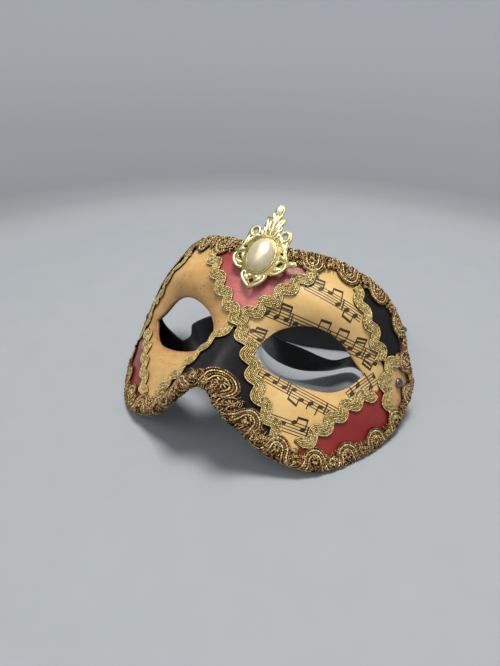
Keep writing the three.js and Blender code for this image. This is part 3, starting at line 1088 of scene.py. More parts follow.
@dataclass(frozen=True)
class Brass(Finish):
    """Stamped brass, its colour running from painted shade on the flat plate to painted highlights on the
    raised work.
    """

    # Painted shade and painted highlight.
    tones: tuple = (srgb(134, 114, 48), srgb(252, 244, 200))
    grain: tuple = srgb(216, 200, 110)

    def build(self, mottle: bpy.types.NodeTree) -> bpy.types.Material:
        """Make the material.

        Args:
            mottle: The group for uneven tone.

        Returns:
            The finished material.
        """
        material, g, shader = self.start(metallic=0.85)
        tone = g.group(mottle, Vector=g.place())
        # Painted light: the tone runs from painted shade on the plate to painted highlights on the raised
        # work.
        colour = g.mix(g.mark("tone"), *self.tones)
        colour = g.mix(g.math("MULTIPLY", tone.outputs["Grain"], 0.3), colour, self.grain)
        g.feed(shader.inputs["Base Color"], colour)
        g.feed(shader.inputs["Roughness"], g.span(tone.outputs["Grain"], 0.0, 1.0, 0.25, 0.45))
        g.feed(shader.inputs["Normal"], g.bump(tone.outputs["Grain"], 0.35, 0.0003))
        return material


@dataclass(frozen=True)
class PearlCoat(Finish):
    """The brow cabochon's champagne pearl lacquer."""

    tones: tuple = (srgb(232, 210, 166), srgb(252, 240, 212))

    def build(self, mottle: bpy.types.NodeTree) -> bpy.types.Material:
        """Make the material.

        Args:
            mottle: The group for uneven tone.

        Returns:
            The finished material.
        """
        material, g, shader = self.start(
            coat_weight=0.4, coat_roughness=0.22, metallic=0.6, roughness=0.36
        )
        tone = g.group(mottle, Vector=g.place())
        colour = g.mix(tone.outputs["Clouds"], *self.tones)
        g.feed(shader.inputs["Base Color"], colour)
        g.feed(shader.inputs["Normal"], g.bump(tone.outputs["Clouds"], 0.06, 0.0003))
        return material


@dataclass(frozen=True)
class StudSteel(Finish):
    """The temple studs' dull plated steel."""

    tones: tuple = (srgb(104, 94, 100), srgb(138, 128, 134))

    def build(self, mottle: bpy.types.NodeTree) -> bpy.types.Material:
        """Make the material.

        Args:
            mottle: The group for uneven tone.

        Returns:
            The finished material.
        """
        material, g, shader = self.start(metallic=1.0)
        tone = g.group(mottle, Vector=g.place())
        colour = g.mix(tone.outputs["Grain"], *self.tones)
        g.feed(shader.inputs["Base Color"], colour)
        g.feed(shader.inputs["Roughness"], g.span(tone.outputs["Speckle"], 0.0, 1.0, 0.25, 0.42))
        return material


@dataclass(frozen=True)
class Satin(Finish):
    """Black ribbon satin: fine ribs across, finer threads along and a soft sheen."""

    tones: tuple = (srgb(5, 5, 6), srgb(10, 9, 11))
    rib: float = 0.45
    thread: float = 0.35

    def build(self, mottle: bpy.types.NodeTree) -> bpy.types.Material:
        """Make the material.

        Args:
            mottle: The group for uneven tone.

        Returns:
            The finished material.
        """
        material, g, shader = self.start(specular_ior_level=0.5)
        tone = g.group(mottle, Vector=g.place())
        along, across, _ = g.split(g.pattern())
        ribs = g.math("SINE", g.math("MULTIPLY", along, 2 * math.pi / (self.rib * MM)))
        threads = g.math("SINE", g.math("MULTIPLY", across, 2 * math.pi / (self.thread * MM)))
        weave = g.math("MULTIPLY_ADD", threads, 0.4, ribs)
        colour = g.mix(tone.outputs["Grain"], *self.tones)
        g.feed(shader.inputs["Base Color"], colour)
        g.feed(shader.inputs["Roughness"], g.span(tone.outputs["Grain"], 0.0, 1.0, 0.32, 0.45))
        g.feed(shader.inputs["Normal"], g.bump(weave, 0.18, 0.0001))
        return material


@dataclass(frozen=True)
class StagePaper(Finish):
    """The pale sweep that the mask lies on."""

    floor: tuple = (srgb(163, 167, 170), srgb(166, 170, 173))
    # Painted shade up the wall by height: darkest just above the bend, lighter towards the top.
    wall: tuple = (
        (0.0, srgb(158, 161, 164)), (0.09, srgb(132, 135, 138)), (0.3, srgb(142, 145, 149)),
        (0.8, srgb(174, 178, 183)),
    )

    def build(self, mottle: bpy.types.NodeTree) -> bpy.types.Material:
        """Make the material.

        Args:
            mottle: The group for uneven tone.

        Returns:
            The finished material.
        """
        material, g, shader = self.start(roughness=0.75, specular_ior_level=0.25)
        tone = g.group(mottle, Vector=g.place())
        _, _, z = g.split(g.place())
        colour = g.mix(tone.outputs["Clouds"], *self.floor)
        # The wall's ramp by height is painted shade and light; the paper itself is one colour.
        height = g.math("MULTIPLY", z, 4.0)
        colour = g.mix(g.span(z, 0.0, 0.012), colour, g.steps(height, *self.wall))
        g.feed(shader.inputs["Base Color"], colour)
        return material


@dataclass
class MaskWall:
    """The papier-mâché wall with its two eye holes, painted in panels."""

    edge_steps: int = 150
    middle_steps: int = 44
    front_rings: int = 30
    back_rings: int = 14
    lip: float = 0.7
    soft_edge: float = 0.5
    cheek_split: float = 5.0
    rub_reach: float = 3.2
    # Where the far panel's valley lies and how far its brown reaches: antiquing and painted shade together.
    valley_stain_and_shade_at: tuple = (-18.0, 24.0)
    valley_stain_and_shade_reach: tuple = (8.0, 11.0)
    valley_stain_and_shade_most: float = 0.9
    right_rub: float = 0.45

    def border(self) -> tuple:
        """Go round the right half, along its edge and back by its middle line.

        Returns:
            The points, and how many of them are edge.
        """
        edge = Route(OUTLINE)
        outer = edge.at(np.linspace(0, edge.length, self.edge_steps))
        middle = np.linspace(outer[-1], outer[0], self.middle_steps + 1)[1:-1]
        return np.vstack([outer, middle]), len(outer)

    @staticmethod
    def hole(border: Points) -> Points:
        """Find the points of the eye hole's rim that look at the border.

        Args:
            border: The border's points.

        Returns:
            One point of the rim for each.
        """
        rim = Route(EYE).line
        centre = np.array(EYE_CENTRE)
        turn = np.unwrap(np.arctan2(*(rim - centre).T[::-1]))
        wanted = np.arctan2(*(border - centre).T[::-1])
        wanted = turn[0] + (wanted - turn[0]) % (2 * math.pi)
        found = np.stack([np.interp(wanted, turn, column) for column in rim.T], axis=-1)
        corner = np.array(EYE[0], float)
        nearest = np.argmin(np.linalg.norm(found - corner, axis=1))
        found[nearest] = corner
        return found

    def section(self) -> tuple:
        """Go round the wall's section, over its back and its front.

        Returns:
            Three rows: the share of the way from the hole to the edge, the millimetres added
            to it, and the lift over the skin.
        """
        back = [(share, 0.0, -WALL) for share in np.linspace(1, 0, self.back_rings + 1)]
        front = [(share, 0.0, 0.0) for share in np.linspace(0, 1, self.front_rings + 1)]
        back[-1] = (0.0, self.lip, -WALL)
        front[0] = (0.0, self.lip, 0.0)
        hole_lip = [
            (0.0, 0.3 * self.lip, 0.3 * self.lip - WALL), (0.0, 0.0, self.lip - WALL),
            (0.0, 0.0, -self.lip), (0.0, 0.3 * self.lip, -0.3 * self.lip),
        ]
        rows = np.array([*back, *hole_lip, *front, back[0]])
        return rows[:, 0], rows[:, 1], rows[:, 2]

    def build(self, finish: bpy.types.Material) -> bpy.types.Object:
        """Build the painted wall.

        Args:
            finish: Its material.

        Returns:
            The object in the scene.
        """
        border, edge_count = self.border()
        hole = self.hole(border)
        share, added, lift = self.section()
        ring = len(border) + 1
        distance = np.linalg.norm(border - hole, axis=1)

        def flat(i: Points, j: Points) -> tuple:
            """Find arc, height, lift and station of the points.

            Args:
                i: Indices across the grid.
                j: Indices along it.

            Returns:
                Four rows of values.
            """
            side = np.where(j >= ring, -1.0, 1.0)
            station = (j % ring) % len(border)
            way = share[i] + added[i] / distance[station]
            at = hole[station] + (border[station] - hole[station]) * way[:, None]
            return at[:, 0] * side, at[:, 1], lift[i], station

        def place(i: Points, j: Points) -> Points:
            """Return the places in the frame."""
            u, v, depth, _ = flat(i, j)
            return settle(SKIN.on(u, v, depth))

        def weave(i: Points, j: Points) -> Points:
            """Return arc and height."""
            u, v, _, _ = flat(i, j)
            return np.stack([u, v], axis=-1)

        def drop(i: Points, j: Points) -> Points:
            """Tell which faces would close the wall on the middle line or join the halves."""
            on_middle = (j % ring) >= edge_count - 1
            return ((i == len(share) - 2) & on_middle) | (j == ring - 1)

        def marks_of(panel: Panel) -> Callable[[Points, Points], Points]:
            """Make the mask of a panel.

            Args:
                panel: The panel.

            Returns:
                A function that gives the mask at the points.
            """
            def values(i: Points, j: Points) -> Points:
                """Find the mask at the points.

                Args:
                    i: Indices across the grid.
                    j: Indices along it.

                Returns:
                    Values from 0 to 1.
                """
                u, v, depth, station = flat(i, j)
                if panel is Panel.INSIDE:
                    return np.clip((-depth - 0.5 * WALL) / 0.2, 0, 1)
                if panel is Panel.RUB:
                    near = np.exp(-(share[i] * distance[station]) / self.rub_reach)
                    off_u, off_v = (
                        (at - centre) / reach
                        for at, centre, reach in zip((u, v), self.valley_stain_and_shade_at, self.valley_stain_and_shade_reach)
                    )
                    # The valley under the far brow: antiquing and painted shade together.
                    valley_stain_and_shade = self.valley_stain_and_shade_most * np.exp(-(off_u**2 + off_v**2))
                    return np.maximum(near, valley_stain_and_shade) * np.where(u < 0, 1.0, self.right_rub)
                return self.panel(panel, u, v)

            return values

        mesh = lattice(
            "papier_mache_wall", len(share) - 1, 2 * ring, place, weave,
            marks={panel.value: marks_of(panel) for panel in Panel}, drop=drop,
        )
        return add_piece(mesh, "paper", finish, "mask_shell")

    def panel(self, panel: Panel, u: Points, v: Points) -> Points:
        """Return how much a point belongs to a panel.

        Args:
            panel: The red, black, lens or printed one.
            u: Arcs from the middle line.
            v: Heights.

        Returns:
            Values from 0 outside the panel to 1 inside it.
        """
        side = np.abs(u)
        # Each seam is carried on past the edge, and the long one is split where it passes the bridge.
        long_strip = np.array([(-44, 53), *STRIPS[Strip.BROW_TO_NOSE], (46, -49)], float)
        brow, nose = long_strip[:7], long_strip[6:]
        over_brow = v - np.interp(side, -brow[::-1, 0], brow[::-1, 1])
        under_nose = np.interp(side, nose[:, 0], nose[:, 1]) - v
        temple, cheek, stud = (
            np.array(STRIPS[strip], float) for strip in (Strip.TEMPLE, Strip.CHEEK, Strip.STUD_PANEL)
        )
        stud = np.vstack([(96, 31), stud, (95, -25)])
        outer = np.vstack([(51, 54), temple, stud[3:5], cheek, (43, -49)])[::-1]
        past_eye = side - np.interp(v, outer[:, 1], outer[:, 0])
        past_stud = side - np.interp(v, stud[::-1, 1], stud[::-1, 0])
        inner = np.maximum(over_brow, under_nose)
        cheek_side = np.minimum(past_eye, -past_stud)
        if panel is Panel.RED:
            depth = np.maximum(over_brow, np.minimum(cheek_side, self.cheek_split - v))
        elif panel is Panel.BLACK:
            depth = np.maximum(under_nose, np.minimum(cheek_side, v - self.cheek_split))
        elif panel is Panel.LENS:
            depth = np.minimum(past_stud, past_eye)
        else:
            depth = np.where(u > 0, np.minimum(-past_eye, -inner), -1.0)
        return np.clip(0.5 + depth / self.soft_edge, 0, 1)


@dataclass
class RimBraid:
    """Scalloped gimp that is folded over the edge: four cords wind round the scallops in turn."""

    scallops: int = 28
    cord_radius: float = 0.5
    inner_radii: tuple = (6.1, 5.05, 4.0, 2.95)
    tones: tuple = (0.0, 1.0, 0.05, 0.9)
    axis_depth: float = 1.9
    base_lift: float = 0.6
    fold_radius: float = 1.45
    back_width: float = 5.0
    bead: float = 1.5
    step: float = 0.375
    tufts: int = 3400
    tuft_points: int = 6
    tuft_reach: tuple = (1.1, 2.1)
    tuft_radius: tuple = (0.24, 0.42)
    tuft_bow: float = 0.8
    tuft_height: tuple = (-0.35, 0.3)
    tuft_inwards: tuple = (3.2, -1.2)
    tuft_outwards: float = 2.5
    arch: float = 0.35
    swell: float = 0.16
    copper_share: float = 0.18
    core_reach: float = 2.3
    core_spokes: int = 9
    scallop_half: float = 4.6
    least_front: float = 4.2
    band_thick: float = 0.35
    measured: tuple = (
        (1, 28.7), (2, 50.4), (3, 70.3), (4, 91.1), (8, 159.7), (9, 177.3), (10, 195.0), (11, 215.6),
    )

    def __post_init__(self) -> None:
        """Prepare the edge and the places of the scallops."""
        mirrored = [(-u, v) for u, v in OUTLINE[-2:0:-1]]
        self.edge = Route([*OUTLINE, *mirrored], closed=True)
        first, last = self.measured[0], self.measured[-1]
        whole = (first[0] + self.scallops, first[1] + self.edge.length)
        before = (last[0] - self.scallops, last[1] - self.edge.length)
        self.phases, self.arcs = np.array([before, *self.measured, whole], float).T

    def arc(self, phase: Points) -> Points:
        """Find the place of a count of scallops.

        Args:
            phase: The counts.

        Returns:
            Lengths along the edge.
        """
        turns = np.floor((phase - self.phases[1]) / self.scallops)
        rest = phase - turns * self.scallops
        return np.interp(rest, self.phases, self.arcs) + turns * self.edge.length

    def place(self, run: Points, across: Points, height: Points) -> Points:
        """Return a point of the folded band.

        Args:
            run: Length along the edge.
            across: Distance from the edge, inwards on the front, and negative round the fold.
            height: Height over the band.

        Returns:
            The upright place, in millimetres.
        """
        at, way = self.edge.at(run), self.edge.way(run)
        inward = np.stack([way[..., 1], -way[..., 0]], axis=-1)
        fold = math.pi * self.fold_radius
        turn = np.clip(-across / self.fold_radius, 0, math.pi)
        reach = self.fold_radius + height
        depth = np.where(across > 0, across, 0) - np.where(across < -fold, across + fold, 0)
        depth = depth - reach * np.sin(turn)
        lift = reach * np.cos(turn) - WALL / 2
        foot = at + inward * depth[..., None]
        return SKIN.on(foot[..., 0], foot[..., 1], lift)

    def front(self, run: Points) -> Points:
        """Tell how far the band under the cords reaches inwards.

        Args:
            run: Lengths along the edge.

        Returns:
            Distances from the edge.
        """
        phase = np.interp(run % self.edge.length, *self._table())
        off = np.abs(phase - np.round(phase)) * self.edge.length / self.scallops
        bulge = np.sqrt(np.maximum(self.inner_radii[0] ** 2 - off**2, 0))
        return np.maximum(self.axis_depth + bulge, self.least_front)

    def _table(self) -> tuple:
        """Return lengths along the edge and the counts of scallops there."""
        phase = np.linspace(0, self.scallops + 2, 400)
        return self.arc(phase), phase

    def build(self, finish: bpy.types.Material, back: bpy.types.Material) -> list:
        """Build the cords and the woven band that they are sewn on.

        Args:
            finish: The cords' material.
            back: The band's material.

        Returns:
            The three pieces.
        """
        cords = Cords("rim_braid_cords")
        for inner, tone in zip(self.inner_radii, self.tones):
            self._wind(cords, inner, tone)
        rng = np.random.default_rng(SEED)
        for half in range(2 * self.scallops):
            self._core(cords, half / 2, rng)
        tufts = Cords("rim_braid_tufts", sides=4)
        for _ in range(self.tufts):
            self._tuft(tufts, rng)
        return [
            add_piece(cords.mesh(), "gimp", finish, "rim_braid"),
            add_piece(tufts.mesh(), "gimp", finish, "rim_braid"),
            add_piece(self._band(), "gimp", back, "rim_braid"),
        ]

    def _tuft(self, cords: Cords, rng: np.random.Generator) -> None:
        """Add one short loose loop of thread between the cords or over the edge.

        Args:
            cords: The threads that it joins.
            rng: The source of chance.
        """
        phase = rng.uniform(0, self.scallops)
        off = abs(phase - round(phase)) * self.edge.length / self.scallops
        between, inside = self.tuft_inwards
        most = self.axis_depth + (between if off > self.scallop_half else inside)
        across = rng.uniform(-math.pi * self.fold_radius - self.tuft_outwards, most)
        turn, reach = rng.uniform(0, math.pi), rng.uniform(*self.tuft_reach)
        share = np.linspace(-1, 1, self.tuft_points)
        bend = rng.uniform(-self.tuft_bow, self.tuft_bow) * (1 - share**2)
        run = self.arc(np.full_like(share, phase)) + reach * share * math.cos(turn) - bend * math.sin(turn)
        deep = across + reach * share * math.sin(turn) + bend * math.cos(turn)
        height = self.base_lift + rng.uniform(*self.tuft_height) + self.arch * (1 - share**2)
        line = self.place(run, deep, height)
        up = unit(self.place(run, deep, height + NUDGE) - line)
        tone, copper = rng.uniform(0.0, 1.0), rng.uniform() < self.copper_share
        cords.add(line, up, rng.uniform(*self.tuft_radius), tone=tone, copper=0.6 * copper)

    def _wind(self, cords: Cords, inner: float, tone: float) -> None:
        """Add one cord that winds round inner and outer scallops in turn.

        Args:
            cords: The threads that it joins.
            inner: The radius of its inner scallops.
            tone: How light its yarn is.
        """
        pitch = self.edge.length / self.scallops
        outer = pitch / 2 - inner
        half_turn = np.linspace(0, math.pi, 60, endpoint=False)
        count = np.arange(self.scallops)[:, None]
        to_inner = count - inner / pitch * np.cos(half_turn)
        to_outer = count + 0.5 - outer / pitch * np.cos(half_turn)
        phase = np.hstack([to_inner, to_outer]).ravel()
        depth = np.hstack([inner * np.sin(half_turn), -outer * np.sin(half_turn)])
        across = np.tile(depth, self.scallops) + self.axis_depth
        phase = np.append(phase, phase[0] + self.scallops)
        across = np.append(across, across[0])
        rough = self.place(self.arc(phase), across, np.zeros_like(phase))
        run = lengths(rough)
        beads = round(run[-1] / self.bead)
        even = np.linspace(0, run[-1], beads * round(self.bead / self.step) + 1)
        phase, across = np.interp(even, run, phase), np.interp(even, run, across)
        lift = np.full_like(phase, self.base_lift)
        line = self.place(self.arc(phase), across, lift)
        up = unit(self.place(self.arc(phase), across, lift + NUDGE) - line)
        swell = 1 + self.swell * np.cos(2 * math.pi * np.linspace(0, beads, len(even)))
        cords.add(line, up, self.cord_radius * swell, tone=tone, closed=True)

    def _core(self, cords: Cords, phase: float, rng: np.random.Generator) -> None:
        """Add the small fan of threads in the middle of a scallop.

        Args:
            cords: The threads that it joins.
            phase: The scallop's count, with a half for an outer one.
            rng: The source of chance.
        """
        inwards = phase % 1 == 0
        spokes = np.linspace(0.15, 1, 5)
        for turn in np.linspace(0, 2 * math.pi, self.core_spokes, endpoint=False) + rng.uniform(0, 0.4):
            off = self.core_reach * spokes * math.cos(turn)
            deep = self.core_reach * spokes * math.sin(turn) * (1.15 if inwards else 1.0)
            run = self.arc(np.full_like(spokes, phase)) + off
            across = self.axis_depth + (0.6 if inwards else -0.6) + deep
            height = self.base_lift + self.arch - self.arch * spokes**2
            line = self.place(run, across, height)
            up = unit(self.place(run, across, height + NUDGE) - line)
            cords.add(line, up, 0.42 + 0.1 * spokes, tone=rng.uniform(0.3, 1.0), copper=0.2)

    def _band(self) -> bpy.types.Mesh:
        """Weave the band from its scalloped front round the edge to its back.

        Returns:
            The closed mesh.
        """
        stations = self.scallops * 24
        fold = math.pi * self.fold_radius
        # A row's share is 0 at the front, 1 and 2 at the ends of the fold and 3 at the back.
        outside = [*np.linspace(0, 1, 10), *np.linspace(1, 2, 7)[1:], *np.linspace(2, 3, 6)[1:]]
        shares = np.array([*outside, *np.linspace(3, 0, 12)[1:]])
        thick = np.where(np.arange(len(shares)) < len(outside), 0.0, -self.band_thick)

        def place(i: Points, j: Points) -> Points:
            """Find the places of the band.

            Args:
                i: Indices across the grid.
                j: Indices along it.

            Returns:
                Points in the frame, in metres.
            """
            run = self.edge.length * j / stations
            share = shares[i]
            front = self.front(run) * (1 - np.minimum(share, 1))
            across = front - fold * np.clip(share - 1, 0, 1) - self.back_width * np.clip(share - 2, 0, 1)
            settled = settle(self.place(run, across, thick[i]))
            settled[:, 2] = np.maximum(settled[:, 2], 0.0)
            return settled

        def weave(i: Points, j: Points) -> Points:
            """Return the length along the band and the way across it."""
            return np.stack([self.edge.length * j / stations, shares[i] * 5.0], axis=-1)

        return lattice(
            "rim_braid_band", len(shares) - 1, stations + 1, place, weave,
            marks={
                "tone": lambda i, j: np.where(shares[i] > 1.9, 0.7, 0.25),
                # A high crown all over: the band gets no painted shade on its sides.
                "crown": lambda i, j: np.full(len(i), 0.9),
            },
        )


@dataclass
class RicRac:
    """The wavy braid strips of seven cords that cover the seams between the panels."""

    width: float = 5.4
    cords: int = 7
    wave: float = 1.5
    roundness: float = 0.5
    pitch: float = 9.7
    cord_radius: float = 0.4
    lift: float = 0.75
    cross_lift: float = 1.7
    cross_flat: float = 0.4
    cross_reach: float = 9.0
    hidden: float = 6.5
    step: float = 0.3
    bead: float = 1.2
    swell: float = 0.14
    crown: float = 0.16
    # Dark strands under the cords, painted shade in the gaps between them.
    shade_strands: tuple = (-1.7, 0.0, 1.7)
    shade_strand_radius: float = 1.1
    shade_strand_sink: float = 0.15

    def build(self, finish: bpy.types.Material, rim: RimBraid) -> list:
        """Return all the strips."""
        return [self.strip(strip, side, rim, finish) for side in Side for strip in Strip]

    def strip(
        self, strip: Strip, side: Side, rim: RimBraid, finish: bpy.types.Material
    ) -> bpy.types.Object:
        """Build one strip on one side of the mask.

        Args:
            strip: Its seam.
            side: Its half.
            rim: The edge braid that covers its ends.
            finish: Its material.

        Returns:
            The object in the scene.
        """
        route = Route([(u * side.value, v) for u, v in STRIPS[strip]])
        run = np.arange(0, route.length, self.step)
        edge = rim.edge.line[::8]
        away = np.array([np.min(np.linalg.norm(edge - p, axis=1)) for p in route.at(run)])
        shown = run[away > self.hidden]
        run = np.arange(shown[0], shown[-1], self.step)
        at, way = route.at(run), route.way(run)
        aside = np.stack([-way[:, 1], way[:, 0]], axis=-1)
        rides = strip is Strip.BROW_TO_NOSE and side is Side.RIGHT
        away = np.linalg.norm(at - np.array(BRIDGE), axis=1) / self.cross_reach
        down = np.clip((away - self.cross_flat) / (1 - self.cross_flat), 0, 1)
        raised = self.cross_lift * (1 - down) if rides else 0.0
        start = 0.0 if strip is Strip.BROW_TO_NOSE else -run[0]
        sway = side.value * self.wave * np.sin(2 * math.pi * (run + start) / self.pitch)
        spacing = (self.width - 0.5) / (self.cords - 1)
        name = f"ricrac_{strip.value}_{side.word}"
        centre = at + aside * sway[:, None]
        turned = unit(np.gradient(centre, axis=0)) @ np.array([[0, 1], [-1, 0]])
        spread = unit(aside + self.roundness * (turned - aside))
        cords = Cords(f"{name}_cords")
        for number in range(self.cords):
            off_middle = number - (self.cords - 1) / 2
            foot = centre + spread * off_middle * spacing
            height = self.lift + self.crown * math.cos(off_middle / self.cords * math.pi) + raised
            line = SKIN.on(foot[:, 0], foot[:, 1], height)
            up = unit(SKIN.on(foot[:, 0], foot[:, 1], height + NUDGE) - line)
            swell = 1 + self.swell * np.cos(2 * math.pi * (run / self.bead + number / 2))
            cords.add(line, up, self.cord_radius * swell, tone=0.95 - 0.5 * (number % 2), flat=1.2)
        # Dark strands sunk under the cords, standing in for the shade in the gaps between them.
        for offset in self.shade_strands:
            foot = centre + spread * offset
            line = SKIN.on(foot[:, 0], foot[:, 1], self.lift - self.shade_strand_sink + raised)
            up = unit(SKIN.on(foot[:, 0], foot[:, 1], self.lift + NUDGE + raised) - line)
            cords.add(line, up, self.shade_strand_radius, tone=0.0, flat=0.3)
        return add_piece(cords.mesh(), "ricrac", finish, name)


@dataclass(frozen=True)
class BrowPlace:
    """Where the ornament stands on the forehead: x runs right, y up its middle line and z out."""

    x: float = 2.1
    y: float = -2.6
    z: float = 41.0
    lean: float = 4.0
    roll: float = -2.5

    def matrix(self) -> Matrix:
        """Turn and move the ornament on to the upright mask.

        Returns:
            The matrix.
        """
        turn = Matrix.Rotation(math.radians(90 - self.lean), 4, "X")
        turn = turn @ Matrix.Rotation(math.radians(self.roll), 4, "Z")
        return Matrix.Translation((self.x, self.y, self.z)) @ turn

    def put(self, points: Points) -> Points:
        """Return the ornament's points on the upright mask."""
        matrix = np.array(self.matrix())
        return points @ matrix[:3, :3].T + matrix[:3, 3]

    def outwards(self, count: int) -> Points:
        """Return a count of rows that each point straight out of the ornament's face."""
        return np.tile(np.array([0.0, 0.0, 1.0]) @ np.array(self.matrix())[:3, :3].T, (count, 1))


@dataclass
class BrowOrnament:
    """Stamped brass filigree: a pierced plate with raised scrolls, leaves and a bezel."""

    brow: BrowPlace = BrowPlace()
    thick: float = 0.8
    bevel: float = 0.22
    lower: tuple = ((0, -17.3), (2.1, -16), (4.3, -14.4), (6.2, -11.6), (6.8, -9.6), (6.5, -8.3))
    side: tuple = ((8.6, -8.6), (11.2, -7), (13.4, -4.9), (14.3, -2.5))
    bud: tuple = ((15.6, -2), (17.6, -1.8), (18.5, -0.5), (17.4, 0.8), (15.2, 0.6))
    upper: tuple = (
        (13.6, 0), (12.4, 2), (11.4, 4.4), (11, 6.8), (11, 9), (11.1, 12.4), (10.2, 14.6),
        (8.2, 15.5), (6, 14.4), (4.6, 12.2), (3.8, 13.6), (4.9, 15.8), (4.1, 17.4), (4.8, 21),
        (2.9, 20.8), (1.7, 22.8), (2.3, 25), (1.8, 27), (0, 29),
    )
    holes: tuple = (
        ((0, -15.0), (1.6, -13.2), (0, -11.4), (-1.6, -13.2)),
        ((8.6, 2.6), (10.6, 2.3), (10.3, 3.6), (8.5, 4.0)),
        ((8.9, -3.9), (10.6, -3.5), (12.2, -1.5), (11.2, -0.5), (9.2, -1.2)),
    )
    loop: tuple = (7.8, 12.1)
    loop_radius: float = 1.35
    loop_ring: tuple = (2.15, 2.5)
    bezel: tuple = (6.95, 9.25)
    bud_rib: tuple = ((14.2, -1.2), (16.0, -0.9), (18.0, -0.4))
    scroll_radius: float = 0.62
    leaf_radius: float = 0.85
    bud_radius: float = 1.0
    bezel_radius: float = 0.5
    scrolls: tuple = (
        ((0.0, -16.4), (3.2, -14.4), (5.7, -11.4), (5.3, -9.4), (3.6, -10.4)),
        ((7.0, -7.6), (9.8, -7.6), (12.5, -5.4), (13.6, -2.8), (13.0, -0.8)),
        ((12.6, 0.2), (11.2, 2.6), (10.4, 5.4), (10.2, 8.0), (9.6, 10.0)),
        ((8.0, 7.2), (7.2, 9.2), (5.6, 10.2), (4.6, 9.6)),
    )
    leaves: tuple = (
        ((0.0, 9.6), (0.1, 14.0), (0.0, 19.0), (0.0, 23.4)),
        ((1.2, 9.6), (2.6, 12.6), (3.2, 16.0), (4.5, 20.6)),
        ((0.8, 12.8), (1.9, 15.6), (2.2, 18.2), (3.0, 20.4)),
        ((0.4, 17.6), (1.2, 19.6), (1.3, 21.8), (1.9, 23.6)),
        ((0.4, 22.6), (0.9, 24.4), (0.9, 26.4), (0.1, 28.6)),
        ((0.0, 22.0), (0.0, 25.6), (0.0, 28.9)),
        ((3.0, 9.4), (4.2, 12.0), (4.4, 14.2)),
        ((2.0, 12.4), (3.8, 14.0), (4.9, 15.9)),
        ((1.6, 15.4), (3.2, 17.2), (4.0, 18.6)),
        ((0.6, 20.4), (1.9, 21.8), (2.2, 24.2)),
        ((1.2, -13.6), (3.0, -12.0), (4.4, -10.0)),
        ((0.4, -10.6), (1.8, -10.9), (3.2, -11.2)),
        ((7.6, -5.4), (10.0, -5.4), (12.2, -3.8)),
        ((8.2, -3.6), (9.2, -1.8), (9.0, 0.4)),
        ((8.8, 1.6), (10.8, 1.4), (12.6, -0.2)),
        ((9.0, 5.0), (8.8, 7.0), (7.2, 8.8)),
        ((9.8, 3.8), (9.4, 6.4), (9.4, 8.6)),
    )

    def build(self, finish: bpy.types.Material) -> list:
        """Build the plate and the raised work on it.

        Args:
            finish: Its material.

        Returns:
            The two pieces.
        """
        plate = self._plate()
        raised = Cords("brow_ornament_scrolls", sides=8)
        for side in Side:
            for scroll in self.scrolls:
                self._stroke(raised, scroll, side, self.scroll_radius, pointed=False)
            for leaf in self.leaves:
                self._stroke(raised, leaf, side, self.leaf_radius, pointed=True)
            centre = (side.value * self.loop[0], self.loop[1])
            self._ring(raised, centre, self.loop_ring, self.scroll_radius, 60)
        self._stroke(raised, self.bud_rib, Side.RIGHT, self.bud_radius, pointed=True)
        self._ring(raised, (0, 0), self.bezel, self.bezel_radius, 96, tone=0.5)
        return [
            add_piece(plate, "brass", finish, "brow_ornament"),
            add_piece(raised.mesh(), "brass", finish, "brow_ornament"),
        ]

    def _plate(self) -> bpy.types.Mesh:
        """Cut the pierced plate and round its edges.

        Returns:
            The mesh, in the frame.
        """
        curve = bpy.data.curves.new("brow_ornament_plate", "CURVE")
        curve.dimensions = "2D"
        curve.fill_mode = "BOTH"
        curve.extrude = self.thick / 2 - self.bevel
        curve.bevel_depth = self.bevel
        curve.bevel_resolution = 2
        flip = [(-x, z) for x, z in (*self.lower, *self.side, *self.upper)][-2:0:-1]
        self._outline(curve, [*self.lower, *self.side, *self.bud, *self.upper, *flip])
        for number, hole in enumerate(self.holes):
            self._outline(curve, hole)
            if number:
                self._outline(curve, [(-x, z) for x, z in hole])
        for side in Side:
            turns = np.linspace(0, 2 * math.pi, 16, endpoint=False)
            ring = [
                (side.value * self.loop[0] + self.loop_radius * math.cos(a),
                 self.loop[1] + self.loop_radius * 1.2 * math.sin(a))
                for a in turns
            ]
            self._outline(curve, ring)
        maker = bpy.data.objects.new("plate_maker", curve)
        bpy.context.scene.collection.objects.link(maker)
        bpy.context.view_layer.update()
        mesh = bpy.data.meshes.new_from_object(maker.evaluated_get(bpy.context.evaluated_depsgraph_get()))
        bpy.data.objects.remove(maker)
        mesh.name = "brow_ornament_plate"
        shape = bmesh.new()
        shape.from_mesh(mesh)
        bmesh.ops.remove_doubles(shape, verts=shape.verts, dist=1e-4)
        bmesh.ops.triangulate(shape, faces=shape.faces)
        bmesh.ops.recalc_face_normals(shape, faces=shape.faces)
        for vert in shape.verts:
            curved = np.array([[vert.co.x, vert.co.y, vert.co.z + self.thick / 2]])
            vert.co = Vector(settle(self.brow.put(curved))[0])
        shape.to_mesh(mesh)
        shape.free()
        # The plate's low tone is painted shade between the raised work.
        layer = mesh.attributes.new("tone", "FLOAT", "POINT")
        layer.data.foreach_set("value", np.full(len(mesh.vertices), 0.1))
        mesh.shade_smooth()
        mesh.set_sharp_from_angle(angle=math.radians(35))
        return mesh

    @staticmethod
    def _outline(curve: bpy.types.Curve, points: Sequence) -> None:
        """Add one closed straight-sided line to the flat curve.

        Args:
            curve: The curve.
            points: The line's corners.
        """
        spline = curve.splines.new("POLY")
        spline.points.add(len(points) - 1)
        for point, (x, z) in zip(spline.points, points):
            point.co = (x, z, 0, 1)
        spline.use_cyclic_u = True

